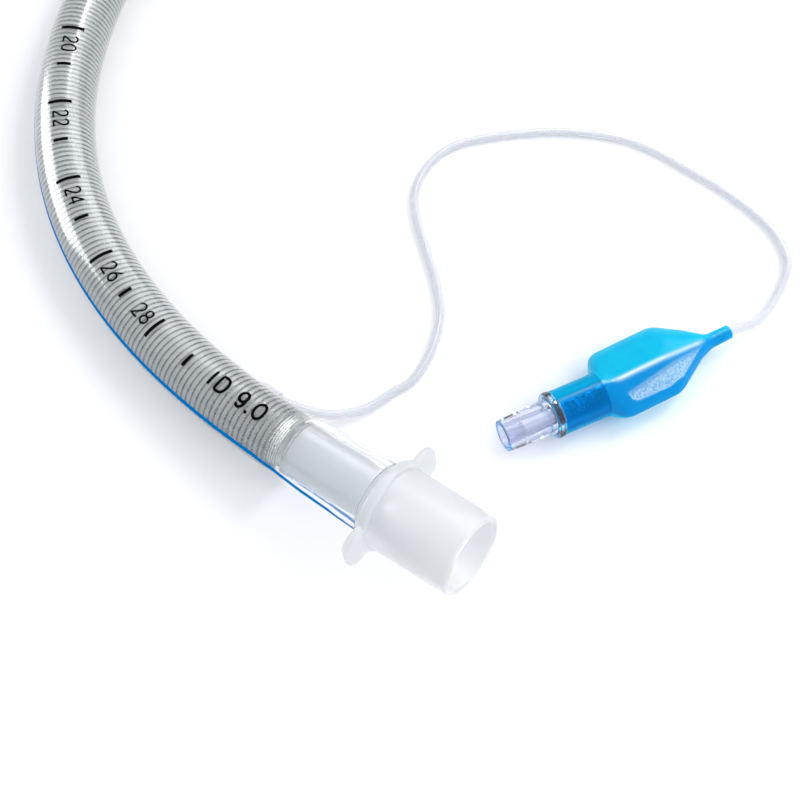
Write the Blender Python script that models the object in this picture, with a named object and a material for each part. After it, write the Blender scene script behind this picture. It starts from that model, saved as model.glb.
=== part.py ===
"""Reinforced endotracheal tube, lying on a table with its inflation line and pilot balloon.

The tube's centre line starts at the connector's flange, runs towards -X and bends to +Y.
Distances along it are counted from the flange. The table is z = 0.
"""

import math

import bmesh
import bpy
from mathutils import Matrix, Vector

MM = 0.001
UP = Vector((0, 0, 1))

# Clearances between pieces
SEAT_GAP = 0.3 * MM
WIRE_GAP = 0.1 * MM

# Tube: the sizes printed on such a tube, and the way it lies
BORE = 9.0 * MM
TUBE_WALL = 1.58 * MM
TUBE_LENGTH = 334 * MM
NECK = (61.6 * MM, -111.1 * MM)
MACHINE_RADIUS = 214 * MM
BEND_RADIUS = 87 * MM
PATIENT_RADIUS = 160 * MM
BEND_FROM = 98 * MM
BEND_TO = 105 * MM
PATIENT_FROM = 165 * MM
NECK_SLOPE = 0.123
NECK_LIFT_LENGTH = 75 * MM
STATION_TURN = math.radians(5)
STATION_LENGTH = 18 * MM
TUBE_SIDES = 20
LINER_SIDES = 16

# Reinforcement in the wall
LINER_WALL = 0.35 * MM
WIRE_DEPTH = 0.3 * MM
WIRE_WIDTH = 0.45 * MM
WIRE_PITCH = 2.34 * MM
WIRE_STEPS = 10
WEB_LENGTH = 1.0 * MM
TIP_ZONE = 24 * MM

# Patient end
BEVEL_ANGLE = math.radians(38)
EYE_LENGTH = 7.5 * MM
EYE_WIDTH = 5.5 * MM
EYE_FROM_TIP = 12.5 * MM
CUFF_LENGTH = 36 * MM
CUFF_FROM_TIP = 26 * MM
CUFF_RADIUS = 7.9 * MM
CUFF_COLLAR = 4 * MM
CUFF_FILM = 0.35 * MM
CUFF_SHOULDER = 5 * MM
CUFF_RISE = 60 * MM

# Connector: 15 mm cone, flange with two ears, barrel pushed into the tube
CONE_END_RADIUS = 7.6 * MM
CONE_TAPER = 1 / 80
CONNECTOR_LENGTH = 19.8 * MM
FLANGE_FROM = 1.5 * MM
FLANGE_THICKNESS = 1.9 * MM
FLANGE_RADIUS = 8.6 * MM
EAR_REACH = 12.3 * MM
EAR_HEIGHT = 8.0 * MM
EAR_CORNER = 2.6 * MM
EAR_STEP = 0.2 * MM
BARREL_LENGTH = 17.2 * MM
BARREL_RADIUS = 4.85 * MM
BARREL_BORE_RADIUS = 3.9 * MM
MOUTH_RADIUS = 6.3 * MM
FUNNEL_LENGTH = 3.0 * MM
FUNNEL_RADIUS = 5.9 * MM
MOUTH_ROUNDING = 0.6 * MM
CONNECTOR_SIDES = 40

# Inflation line
LINE_DIAMETER = 1.8 * MM
LINE_STEP = 4.5 * MM
LINE_LEAVES_AT = 37 * MM
LINE_LEAVES_ANGLE = math.radians(9)
LINE_ROOT_ANGLE = math.radians(118)
LINE_ROOT_HEIGHT = 0.7 * MM
SLEEVE_LENGTH = 7 * MM
SLEEVE_WALL = 0.5 * MM
SLEEVE_TAPER = 0.4 * MM
SOCKET_LENGTH = 3 * MM

# Pilot balloon and its valve share an axis, counted from the valve's mouth
VALVE_MOUTH = (69.5 * MM, -84.8 * MM)
VALVE_HEADING = math.radians(62.8)
BALLOON_HEADING = math.radians(65.8)
PORT_RADIUS = 3.03 * MM
PORT_BASE_RADIUS = 3.35 * MM
PORT_BORE_RADIUS = 2.15 * MM
PORT_TAPER = 0.03
PORT_LENGTH = 9.6 * MM
COLLAR_RADIUS = 4.45 * MM
COLLAR_LENGTH = 1.2 * MM
BODY_RADIUS = 3.35 * MM
BODY_LENGTH = 10.3 * MM
RIB_HEIGHT = 0.15 * MM
RIB_PITCH = 1.8 * MM
RIB_COUNT = 4
CHAMBER_RADIUS = 2.6 * MM
SEAT_DEPTH = 0.4 * MM
BALLOON_SLEEVE_LENGTH = 9.1 * MM
BALLOON_LENGTH = 23.9 * MM
BALLOON_NEAR = 6.75 * MM
BALLOON_FAR = 8.1 * MM
BALLOON_RIDGE = 0.7 * MM
BALLOON_TOP = 4.2 * MM
BALLOON_BOTTOM = 4.29 * MM
BALLOON_WALL = 0.45 * MM
BALLOON_SIDES = 20
TAIL_LENGTH = 4.6 * MM
TAIL_WALL = 0.3 * MM
TAIL_GAP = 0.15 * MM
VALVE_SIDES = 28
VENT_SIDES = 8

# Valve's inner pieces
STEM_RADIUS = 1.45 * MM
STEM_FROM = 3.9 * MM
GUIDE_RADIUS = 0.8 * MM
GUIDE_LENGTH = 8.0 * MM
HEAD_RADIUS = 2.1 * MM
HEAD_THICKNESS = 0.9 * MM
SEAL_RADIUS = 2.3 * MM
SEAL_THICKNESS = 0.8 * MM
CAP_THICKNESS = 1.4 * MM
VENT_RADIUS = 0.35 * MM
VENT_OFFSET = 1.72 * MM
VENT_COUNT = 4
SPRING_WIRE = 0.3 * MM
SPRING_TURNS = 6
SPRING_STEPS = 12

# The line's route, from the sleeve on the tube's wall to the balloon's tail, in millimetres
LINE_ROUTE = [
    (29.87, -103.98, 4.88),
    (32.55, -103.75, 5.13),
    (34.54, -103.55, 5.3),
    (36.4, -102.85, 5.05),
    (38.21, -102.01, 4.4),
    (40.23, -100.65, 3.6),
    (42.4, -98.51, 2.6),
    (45.26, -93.84, 1.4),
    (47.08, -87.66, 0.95),
    (48.3, -83.1, 0.9),
    (47, -75.9, 0.9),
    (43.6, -68.6, 0.9),
    (38.5, -63.1, 0.9),
    (31.8, -57.7, 0.9),
    (25.2, -52, 0.9),
    (21.3, -46.4, 0.9),
    (20, -39.1, 0.9),
    (21.9, -32.4, 0.9),
    (27.3, -25.6, 0.9),
    (35.5, -18, 0.9),
    (45, -12.2, 0.9),
    (53.4, -9.8, 0.9),
    (62.9, -9.6, 0.9),
    (72.6, -9.9, 0.9),
    (82.4, -11.8, 0.9),
    (88.6, -15.2, 0.9),
    (91.7, -19.4, 1),
    (93.3, -26.6, 1.6),
    (93.5, -31, 2.5),
    (93.1, -35.15, 3.4),
    (91.75, -38.3, 4.2),
    (90.42, -40.84, 4.45),
    (89.31, -43.3, 4.45),
]


def smooth_step(value):
    """Blend from 0 to 1 without a kink at either end."""
    value = min(max(value, 0.0), 1.0)
    return value * value * (3 - 2 * value)


class Axis:
    """A straight or bent axis that round pieces are turned about."""

    def __init__(self, stations):
        self.stations = stations

    @classmethod
    def straight(cls, origin, direction):
        """Make an axis that runs straight from origin along direction."""
        along = direction.normalized()
        side = along.cross(UP).normalized()
        up = side.cross(along)
        return cls([(0.0, origin, side, up), (1.0, origin + along, side, up)])

    def frame(self, distance):
        """Return the centre, side and up vectors at a distance along the axis."""
        index = 0
        while index < len(self.stations) - 2 and distance > self.stations[index + 1][0]:
            index += 1
        first, second = self.stations[index], self.stations[index + 1]
        share = (distance - first[0]) / (second[0] - first[0])
        return [a.lerp(b, share) for a, b in zip(first[1:], second[1:])]

    def place(self, distance, radius, angle):
        """Return the point at a radius and an angle, which turns from up towards side."""
        centre, side, up = self.frame(distance)
        return centre + radius * (math.cos(angle) * up + math.sin(angle) * side)

    def between(self, start, end):
        """List the stations strictly between two distances, in the order of travel."""
        low, high = sorted((start, end))
        inner = [station[0] for station in self.stations if low < station[0] < high]
        return inner if start < end else inner[::-1]

    def follow(self, profile, closed):
        """Add a point to a (distance, radius) profile wherever the axis has a station."""
        points = []
        ends = profile[1:] + profile[:1] if closed else profile[1:]
        for (start, first), (end, second) in zip(profile, ends):
            points.append((start, first))
            for distance in self.between(start, end):
                share = (distance - start) / (end - start)
                points.append((distance, first + share * (second - first)))
        if not closed:
            points.append(profile[-1])
        return points


def curvature(distance):
    """Return the tube's sideways curvature: straight on the barrel, then bent, then eased."""
    slight, tight = 1 / MACHINE_RADIUS, 1 / BEND_RADIUS
    if distance < COIL_FROM:
        return 0.0
    if distance < BEND_FROM:
        share = (distance - COIL_FROM) / (BEND_FROM - COIL_FROM)
        return slight + (tight - slight) * smooth_step(share)
    eased = smooth_step((distance - BEND_TO) / (PATIENT_FROM - BEND_TO))
    return tight + (1 / PATIENT_RADIUS - tight) * eased


def height(distance):
    """Return the centre line's height: lifted at the neck, level, lifted by the cuff."""
    bent = NECK_LIFT_LENGTH - COIL_FROM
    lift = NECK_SLOPE / (2 * bent) * max(0.0, NECK_LIFT_LENGTH - max(distance, COIL_FROM)) ** 2
    lift += NECK_SLOPE * max(0.0, COIL_FROM - distance)
    cuff_starts = TUBE_LENGTH - CUFF_FROM_TIP - CUFF_LENGTH
    rise = smooth_step((distance - cuff_starts + CUFF_RISE) / CUFF_RISE)
    return TUBE_RADIUS + lift + (CUFF_RADIUS - TUBE_RADIUS) * rise


def tube_axis():
    """Step along the tube's centre line and keep a station at each small turn."""
    step = 0.5 * MM
    point = Vector((NECK[0], NECK[1], 0))
    heading = math.pi
    stations = []
    distance = last_distance = 0.0
    last_heading = heading
    while distance < TUBE_LENGTH + STATION_LENGTH:
        slope = (height(distance + step) - height(distance)) / step
        turned = abs(heading - last_heading) > STATION_TURN
        if not stations or turned or distance - last_distance > STATION_LENGTH:
            along = Vector((math.cos(heading), math.sin(heading), slope)).normalized()
            side = along.cross(UP).normalized()
            centre = Vector((point.x, point.y, height(distance)))
            stations.append((distance, centre, side, side.cross(along)))
            last_distance, last_heading = distance, heading
        level_step = step / math.sqrt(1 + slope * slope)
        heading -= curvature(distance) * step
        point += level_step * Vector((math.cos(heading), math.sin(heading), 0))
        distance += step
    return Axis(stations)


TUBE_RADIUS = BORE / 2 + TUBE_WALL
SOCKET_RADIUS = BARREL_RADIUS + SEAT_GAP
FLARE_RADIUS = SOCKET_RADIUS + TUBE_WALL
SOCKET_DEPTH = BARREL_LENGTH + SEAT_GAP
COIL_FROM = SOCKET_DEPTH + WEB_LENGTH
COIL_TO = TUBE_LENGTH - TIP_ZONE
LINER_RADIUS = BORE / 2 + LINER_WALL
CHORD = math.cos(math.pi / WIRE_STEPS)
WIRE_INNER = (LINER_RADIUS + WIRE_GAP) / CHORD
WIRE_OUTER = WIRE_INNER + WIRE_DEPTH
CHANNEL_RADIUS = (WIRE_OUTER + WIRE_GAP) / math.cos(math.pi / TUBE_SIDES)
TUBE = tube_axis()


def material(name, colour, roughness, metallic=0.0, alpha=1.0):
    """Make a plain Principled material."""
    made = bpy.data.materials.new(name)
    made.use_nodes = True
    shader = made.node_tree.nodes["Principled BSDF"]
    shader.inputs["Base Color"].default_value = (*colour, 1.0)
    shader.inputs["Roughness"].default_value = roughness
    shader.inputs["Metallic"].default_value = metallic
    shader.inputs["Alpha"].default_value = alpha
    return made


def add_object(name, mesh_data, finish):
    """Put a mesh or curve in the scene as a named object."""
    made = bpy.data.objects.new(name, mesh_data)
    bpy.context.collection.objects.link(made)
    if finish:
        mesh_data.materials.append(finish)
    return made


def add_solid(name, shape, finish):
    """Close off a bmesh as a smooth shaded object with its faces pointing out."""
    bmesh.ops.recalc_face_normals(shape, faces=shape.faces[:])
    mesh_data = bpy.data.meshes.new(name)
    shape.to_mesh(mesh_data)
    shape.free()
    mesh_data.shade_smooth()
    mesh_data.set_sharp_from_angle(angle=math.radians(35))
    return add_object(name, mesh_data, finish)


def join_rings(shape, first, second):
    """Skin two rings of vertices, either of which may be a single pole."""
    count = max(len(first), len(second))
    for i in range(count):
        j = (i + 1) % count
        if len(first) == 1:
            shape.faces.new((first[0], second[i], second[j]))
        elif len(second) == 1:
            shape.faces.new((first[i], second[0], first[j]))
        else:
            shape.faces.new((first[i], second[i], second[j], first[j]))


def lathe(name, axis, profile, sides, finish=None):
    """Turn a (distance, radius) profile about an axis, following the axis's bends.

    A profile that starts and ends at radius 0 makes a solid piece; any other is a closed
    loop and makes a ring-shaped one.
    """
    shape = bmesh.new()
    closed = profile[0][1] > 0
    rings = []
    for distance, radius in axis.follow(profile, closed):
        count = sides if radius > 0 else 1
        angles = [2 * math.pi * i / sides for i in range(count)]
        rings.append([shape.verts.new(axis.place(distance, radius, a)) for a in angles])
    for first, second in zip(rings, rings[1:]):
        join_rings(shape, first, second)
    if closed:
        join_rings(shape, rings[-1], rings[0])
    return add_solid(name, shape, finish)


def coil(name, axis, start, end, turns, steps, section, finish):
    """Wind a wire about an axis. The section is a list of (distance, radius) corners."""
    shape = bmesh.new()
    count = round(turns * steps)
    rings = []
    for k in range(count + 1):
        distance = start + (end - start) * k / count
        angle = 2 * math.pi * k / steps
        corners = [axis.place(distance + along, radius, angle) for along, radius in section]
        rings.append([shape.verts.new(corner) for corner in corners])
    for first, second in zip(rings, rings[1:]):
        join_rings(shape, first, second)
    shape.faces.new(rings[0])
    shape.faces.new(rings[-1])
    return add_solid(name, shape, finish)


def cutter(target, tool, operation="DIFFERENCE"):
    """Cut a tool out of a target, or join it on, and keep the tool out of the model."""
    tool.hide_render = True
    tool.display_type = "WIRE"
    change = target.modifiers.new(tool.name, "BOOLEAN")
    change.operation = operation
    change.object = tool
    change.solver = "EXACT"


def box(name, size, matrix):
    """Make a box centred on a matrix's origin."""
    shape = bmesh.new()
    bmesh.ops.create_cube(shape, size=1.0)
    bmesh.ops.scale(shape, vec=size, verts=shape.verts[:])
    bmesh.ops.transform(shape, matrix=matrix, verts=shape.verts[:])
    return add_solid(name, shape, None)


def tube_wall(finish):
    """Make the clear wall: flared over the barrel, hollowed for the wire, cut at the tip."""
    end = TUBE_LENGTH
    profile = [
        (0, FLARE_RADIUS),
        (0.7 * SOCKET_DEPTH, FLARE_RADIUS - 0.15 * MM),
        (COIL_FROM + SEAT_GAP, TUBE_RADIUS),
        (end, TUBE_RADIUS),
        (end, BORE / 2),
        (COIL_TO + SEAT_GAP, BORE / 2),
        (COIL_TO + SEAT_GAP, CHANNEL_RADIUS),
        (COIL_FROM - SEAT_GAP, CHANNEL_RADIUS),
        (COIL_FROM - SEAT_GAP, BORE / 2),
        (SOCKET_DEPTH, BORE / 2),
        (SOCKET_DEPTH, SOCKET_RADIUS),
        (0, SOCKET_RADIUS),
    ]
    wall = lathe("tube_wall", TUBE, profile, TUBE_SIDES, finish)

    centre, side, up = TUBE.frame(end)
    along = up.cross(side)
    heel = centre - TUBE_RADIUS * up
    face = (-math.cos(BEVEL_ANGLE) * along + math.sin(BEVEL_ANGLE) * up).normalized()
    normal = (math.sin(BEVEL_ANGLE) * along + math.cos(BEVEL_ANGLE) * up).normalized()
    reach = 6 * TUBE_RADIUS
    turn = Matrix((side, face, normal)).transposed().to_4x4()
    slab = Matrix.Translation(heel + normal * reach / 2) @ turn
    cutter(wall, box("bevel_cutter", (reach, 2 * reach, reach), slab))

    centre, side, up = TUBE.frame(end - EYE_FROM_TIP)
    down = Axis.straight(centre - 0.5 * BORE / 2 * up, -up)
    eye = lathe("eye_cutter", down, [(0, 0), (0, 0.5), (BORE, 0.5), (BORE, 0)], TUBE_SIDES)
    stretch_eye(eye, centre, side, up.cross(side), up)
    cutter(wall, eye)
    return wall


def stretch_eye(eye, centre, side, along, up):
    """Give a round cutter of radius 0.5 the eye's length and width."""
    for vertex in eye.data.vertices:
        offset = vertex.co - centre
        flat = side * offset.dot(side) * EYE_WIDTH + along * offset.dot(along) * EYE_LENGTH
        vertex.co = centre + flat + up * offset.dot(up)


def reinforcement(liner_finish, wire_finish):
    """Make the inner lining and the steel wire wound on it, inside the wall."""
    profile = [
        (COIL_FROM, BORE / 2),
        (COIL_FROM, LINER_RADIUS),
        (COIL_TO, LINER_RADIUS),
        (COIL_TO, BORE / 2),
    ]
    lathe("inner_lining", TUBE, profile, LINER_SIDES, liner_finish)
    half = WIRE_WIDTH / 2
    section = [(0, WIRE_INNER), (half, WIRE_OUTER), (-half, WIRE_OUTER)]
    first, last = COIL_FROM + WIRE_WIDTH, COIL_TO - WIRE_WIDTH
    turns = (last - first) / WIRE_PITCH
    coil("reinforcing_wire", TUBE, first, last, turns, WIRE_STEPS, section, wire_finish)


def cuff(finish):
    """Make the cuff as it lies when let down: a loose sleeve bonded at both ends."""
    end = TUBE_LENGTH - CUFF_FROM_TIP
    start = end - CUFF_LENGTH
    inner = TUBE_RADIUS + SEAT_GAP
    collar = inner + CUFF_FILM
    near, far = start + CUFF_COLLAR, end - CUFF_COLLAR
    profile = [(start, inner), (start, collar), (near, collar)]
    profile += [(near + CUFF_SHOULDER / 3, CUFF_RADIUS - 0.35 * MM), (near + CUFF_SHOULDER, CUFF_RADIUS)]
    profile += [(far - CUFF_SHOULDER, CUFF_RADIUS), (far - CUFF_SHOULDER / 3, CUFF_RADIUS - 0.35 * MM)]
    profile += [(far, collar), (end, collar), (end, inner)]
    lathe("cuff", TUBE, profile, TUBE_SIDES, finish)


def connector_axis():
    """Return the axis from the tube's end outwards through the connector."""
    centre, side, up = TUBE.frame(0)
    return Axis.straight(centre, side.cross(up))


def connector(finish):
    """Make the one-piece connector: barrel, flange with ears and 15 mm cone."""
    axis = connector_axis()
    back = SEAT_GAP
    front = FLANGE_FROM + FLANGE_THICKNESS
    mouth = CONNECTOR_LENGTH
    cone_base = CONE_END_RADIUS + CONE_TAPER * (mouth - front)
    edge = MOUTH_ROUNDING
    profile = [
        (-BARREL_LENGTH, 0),
        (-BARREL_LENGTH, BARREL_RADIUS - edge),
        (-BARREL_LENGTH + 2 * edge, BARREL_RADIUS),
        (back, BARREL_RADIUS),
        (back, FLARE_RADIUS),
        (FLANGE_FROM, FLARE_RADIUS),
        (FLANGE_FROM, FLANGE_RADIUS),
        (front, FLANGE_RADIUS),
        (front, cone_base),
        (mouth - edge, CONE_END_RADIUS),
        (mouth - 0.3 * edge, CONE_END_RADIUS - 0.3 * edge),
        (mouth, CONE_END_RADIUS - edge),
        (mouth, 0),
    ]
    body = lathe("connector", axis, profile, CONNECTOR_SIDES, finish)
    ear_from, ear_to = FLANGE_FROM + EAR_STEP, front - EAR_STEP
    ears = rounded_plate("ears", axis, ear_from, ear_to, EAR_REACH, EAR_HEIGHT / 2, EAR_CORNER)
    cutter(body, ears, "UNION")
    bore = [
        (-BARREL_LENGTH - 1 * MM, 0),
        (-BARREL_LENGTH - 1 * MM, BARREL_BORE_RADIUS),
        (front, BARREL_BORE_RADIUS),
        (front + FUNNEL_LENGTH, FUNNEL_RADIUS),
        (mouth - edge / 2, MOUTH_RADIUS),
        (mouth + edge / 2, MOUTH_RADIUS + edge),
        (mouth + edge / 2, 0),
    ]
    cutter(body, lathe("connector_bore", axis, bore, CONNECTOR_SIDES))


def rounded_plate(name, axis, start, end, half_width, half_height, corner):
    """Make a flat plate with round corners, square to an axis."""
    outline = []
    for quarter in range(4):
        across = (half_width - corner) * (1 if quarter in (0, 3) else -1)
        upwards = (half_height - corner) * (1 if quarter in (0, 1) else -1)
        for k in range(5):
            angle = math.pi / 2 * (quarter + k / 4)
            outline.append((across + corner * math.cos(angle), upwards + corner * math.sin(angle)))
    shape = bmesh.new()
    rings = []
    for distance in (start, end):
        centre, side, up = axis.frame(distance)
        rings.append([shape.verts.new(centre + x * side + y * up) for x, y in outline])
    join_rings(shape, rings[0], rings[1])
    shape.faces.new(rings[0])
    shape.faces.new(rings[1])
    return add_solid(name, shape, None)


def line_sleeve_axis():
    """Return the axis on which the line leaves the far side of the tube's wall."""
    centre, side, up = TUBE.frame(LINE_LEAVES_AT)
    back = side.cross(up)
    root = TUBE.place(LINE_LEAVES_AT, TUBE_RADIUS + LINE_ROOT_HEIGHT, LINE_ROOT_ANGLE)
    outwards = math.cos(LINE_LEAVES_ANGLE) * back + math.sin(LINE_LEAVES_ANGLE) * side
    return Axis.straight(root, outwards)


def line_sleeve(finish):
    """Make the tapered sleeve that the line leaves the wall through, shaped to the wall."""
    axis = line_sleeve_axis()
    bore = LINE_DIAMETER / 2 + SEAT_GAP
    outer = bore + SLEEVE_WALL
    profile = [
        (0, 0),
        (0, outer - SLEEVE_TAPER),
        (SLEEVE_LENGTH / 2, outer),
        (SLEEVE_LENGTH, outer - SLEEVE_TAPER / 2),
        (SLEEVE_LENGTH, bore),
        (SLEEVE_LENGTH - SOCKET_LENGTH, bore),
        (SLEEVE_LENGTH - SOCKET_LENGTH, 0),
    ]
    sleeve = lathe("line_sleeve", axis, profile, TUBE_SIDES, finish)
    near, far = LINE_LEAVES_AT - 3 * SLEEVE_LENGTH, LINE_LEAVES_AT + 3 * SLEEVE_LENGTH
    radius = TUBE_RADIUS + SEAT_GAP
    wall = [(near, 0), (near, radius), (far, radius), (far, 0)]
    cutter(sleeve, lathe("wall_cutter", TUBE, wall, TUBE_SIDES))


def smooth_route(points, step):
    """Run a smooth curve through the points, and read it at an even step."""
    ends = [2 * points[0] - points[1]] + points + [2 * points[-1] - points[-2]]
    fine = []
    for before, first, second, after in zip(ends, ends[1:], ends[2:], ends[3:]):
        for k in range(20):
            t = k / 20
            blend = 2 * first + t * (second - before)
            blend += t**2 * (2 * before - 5 * first + 4 * second - after)
            blend += t**3 * (3 * first - before - 3 * second + after)
            fine.append(blend / 2)
    fine.append(points[-1])
    lengths = [0.0]
    for first, second in zip(fine, fine[1:]):
        lengths.append(lengths[-1] + (second - first).length)
    count = round(lengths[-1] / step)
    even = []
    index = 0
    for k in range(count + 1):
        target = lengths[-1] * k / count
        while index < len(fine) - 2 and lengths[index + 1] < target:
            index += 1
        share = (target - lengths[index]) / (lengths[index + 1] - lengths[index])
        even.append(fine[index].lerp(fine[index + 1], share))
    return even


def inflation_line(finish):
    """Lay the thin line from the tube's wall along the table to the balloon's tail."""
    curve = bpy.data.curves.new("inflation_line", "CURVE")
    curve.dimensions = "3D"
    curve.bevel_depth = LINE_DIAMETER / 2
    curve.bevel_resolution = 2
    curve.use_fill_caps = True
    curve.resolution_u = 1
    route = smooth_route([Vector(point) * MM for point in LINE_ROUTE], LINE_STEP)
    spline = curve.splines.new("POLY")
    spline.points.add(len(route) - 1)
    for point, place in zip(spline.points, route):
        point.co = (*place, 1.0)
    add_object("inflation_line", curve, finish)


def valve_axis():
    """Return the axis of the valve, which lies on the table on its collar."""
    mouth = Vector((VALVE_MOUTH[0], VALVE_MOUTH[1], COLLAR_RADIUS))
    return Axis.straight(mouth, Vector((math.cos(VALVE_HEADING), math.sin(VALVE_HEADING), 0)))


def balloon_axis():
    """Return the balloon's axis: the valve's, then turned a little."""
    valve = valve_axis()
    shoulder_at = BALLOON_FROM + BALLOON_SLEEVE_LENGTH
    shoulder = valve.frame(shoulder_at)
    heading = Vector((math.cos(BALLOON_HEADING), math.sin(BALLOON_HEADING), 0))
    reach = BALLOON_LENGTH + TAIL_LENGTH
    end = (shoulder_at + reach, shoulder[0] + reach * heading, heading.cross(UP), UP)
    return Axis([(0.0, *valve.frame(0.0)), (shoulder_at, *shoulder), end])


def balloon_rings(inset):
    """List (distance, near, far, top, bottom, ridge, squareness) along the balloon's skin.

    Near and far are its reach to the two sides, and the ridge is how far its top lies to the
    near side. The inset moves every section in from the outer skin. Squareness 2 is an
    ellipse, and less is nearer to a diamond.
    """
    start = BALLOON_FROM
    body = start + BALLOON_SLEEVE_LENGTH
    length = BALLOON_LENGTH
    collar = BALLOON_SLEEVE_RADIUS - inset
    thin = TAIL_RADIUS - min(inset, TAIL_WALL)
    near, far, ridge = BALLOON_NEAR - inset, BALLOON_FAR - inset, BALLOON_RIDGE
    top, bottom = BALLOON_TOP - inset, BALLOON_BOTTOM - inset
    flare = body - inset
    return [
        (start, collar, collar, collar, collar, 0.0, 2.0),
        (flare, collar, collar, collar, collar, 0.0, 2.0),
        (flare + 0.03 * length, 0.79 * near, 0.76 * far, collar, collar, 0.3 * ridge, 1.8),
        (flare + 0.07 * length, 0.93 * near, 0.93 * far, top, bottom, 0.7 * ridge, 1.6),
        (flare + 0.13 * length, near, far, top, bottom, ridge, 1.5),
        (body + 0.55 * length, near, far, 0.98 * top, 0.98 * bottom, ridge, 1.5),
        (body + 0.62 * length, 0.91 * near, far, 0.95 * top, 0.95 * bottom, ridge, 1.5),
        (body + 0.68 * length, 0.78 * near, 0.96 * far, 0.88 * top, 0.88 * bottom, ridge, 1.5),
        (body + 0.87 * length, 0.38 * near, 0.56 * far, 0.60 * top, 0.60 * bottom, 0.6 * ridge, 1.6),
        (body + length, 1.08 * thin, 1.08 * thin, 1.08 * thin, 1.08 * thin, 0.0, 2.0),
        (body + length + TAIL_LENGTH, thin, thin, thin, thin, 0.0, 2.0),
    ]


def pilot_balloon(finish):
    """Make the hollow balloon with its valve sleeve and its thin tail, open at both ends."""
    axis = balloon_axis()
    shape = bmesh.new()
    outer = balloon_rings(0.0)
    inner = balloon_rings(BALLOON_WALL)
    rings = []
    for distance, near, far, top, bottom, ridge, square in outer + inner[::-1]:
        centre, side, up = axis.frame(distance)
        ring = []
        for i in range(BALLOON_SIDES):
            angle = 2 * math.pi * i / BALLOON_SIDES
            across, upwards = math.cos(angle), math.sin(angle)
            x = math.copysign(abs(across) ** (2 / square), across)
            y = math.copysign(abs(upwards) ** (2 / square), upwards)
            x = x * (near if x > 0 else far) + ridge * max(0.0, y)
            y *= top if y > 0 else bottom
            ring.append(shape.verts.new(centre + x * side + y * up))
        rings.append(ring)
    for first, second in zip(rings, rings[1:] + rings[:1]):
        join_rings(shape, first, second)
    return add_solid("pilot_balloon", shape, finish)


def valve_body(finish):
    """Make the valve's housing: Luer port, collar and the ribbed barrel in the balloon."""
    collar_end = PORT_LENGTH + COLLAR_LENGTH
    body_end = collar_end + BODY_LENGTH
    profile = [
        (0, PORT_RADIUS),
        (PORT_LENGTH, PORT_BASE_RADIUS),
        (PORT_LENGTH, COLLAR_RADIUS),
        (collar_end, COLLAR_RADIUS),
        (collar_end, BODY_RADIUS),
    ]
    for k in range(RIB_COUNT):
        foot = collar_end + RIB_PITCH * (k + 1)
        profile += [(foot, BODY_RADIUS + RIB_HEIGHT), (foot + RIB_PITCH / 3, BODY_RADIUS)]
    profile += [
        (body_end, BODY_RADIUS),
        (body_end, CHAMBER_RADIUS),
        (SEAT_AT, CHAMBER_RADIUS),
        (SEAT_AT, PORT_BORE_RADIUS - PORT_TAPER * SEAT_AT),
        (0, PORT_BORE_RADIUS),
    ]
    lathe("valve_body", valve_axis(), profile, VALVE_SIDES, finish)


def valve_cap(finish):
    """Make the disc that holds the spring, bored for the plunger's guide and vented."""
    axis = valve_axis()
    end = PORT_LENGTH + COLLAR_LENGTH + BODY_LENGTH
    start = end - CAP_THICKNESS
    hole, rim = GUIDE_RADIUS + SEAT_GAP, CHAMBER_RADIUS - SEAT_GAP
    cap = lathe(
        "valve_cap", axis, [(start, hole), (start, rim), (end, rim), (end, hole)], VALVE_SIDES, finish
    )
    past = CAP_THICKNESS / 2
    vent = [(0, 0), (0, VENT_RADIUS), (2 * CAP_THICKNESS, VENT_RADIUS), (2 * CAP_THICKNESS, 0)]
    for k in range(VENT_COUNT):
        origin = axis.place(start - past, VENT_OFFSET, 2 * math.pi * (k + 0.5) / VENT_COUNT)
        direction = axis.frame(1.0)[0] - axis.frame(0.0)[0]
        cutter(cap, lathe("vent_cutter", Axis.straight(origin, direction), vent, VENT_SIDES))
    return start


def valve_insides(stem_finish, seal_finish, spring_finish, cap_from):
    """Make the plunger, the seal it carries and the spring that closes the valve."""
    axis = valve_axis()
    seal_from = SEAT_AT + SEAT_GAP
    seal_to = seal_from + SEAL_THICKNESS
    head_from = seal_to + SEAT_GAP
    head_to = head_from + HEAD_THICKNESS
    edge = 0.2 * MM
    stem = [
        (STEM_FROM, 0),
        (STEM_FROM, STEM_RADIUS - edge),
        (STEM_FROM + edge, STEM_RADIUS),
        (SEAT_AT, STEM_RADIUS),
        (SEAT_AT, GUIDE_RADIUS),
        (head_from, GUIDE_RADIUS),
        (head_from, HEAD_RADIUS),
        (head_to, HEAD_RADIUS),
        (head_to, GUIDE_RADIUS),
        (head_to + GUIDE_LENGTH, GUIDE_RADIUS),
        (head_to + GUIDE_LENGTH, 0),
    ]
    lathe("valve_plunger", axis, stem, TUBE_SIDES, stem_finish)
    hole = GUIDE_RADIUS + SEAT_GAP
    seal = [(seal_from, hole), (seal_from, SEAL_RADIUS), (seal_to, SEAL_RADIUS), (seal_to, hole)]
    lathe("plunger_seal", axis, seal, TUBE_SIDES, seal_finish)
    inner = (GUIDE_RADIUS + SEAT_GAP) / math.cos(math.pi / SPRING_STEPS)
    outer = inner + SPRING_WIRE
    half = SPRING_WIRE / 2
    section = [(-half, inner), (half, inner), (half, outer), (-half, outer)]
    start, end = head_to + half + SEAT_GAP, cap_from - half - SEAT_GAP
    coil("valve_spring", axis, start, end, SPRING_TURNS, SPRING_STEPS, section, spring_finish)


bpy.context.scene.unit_settings.length_unit = "MILLIMETERS"
for stale in list(bpy.data.objects):
    bpy.data.objects.remove(stale, do_unlink=True)

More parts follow.
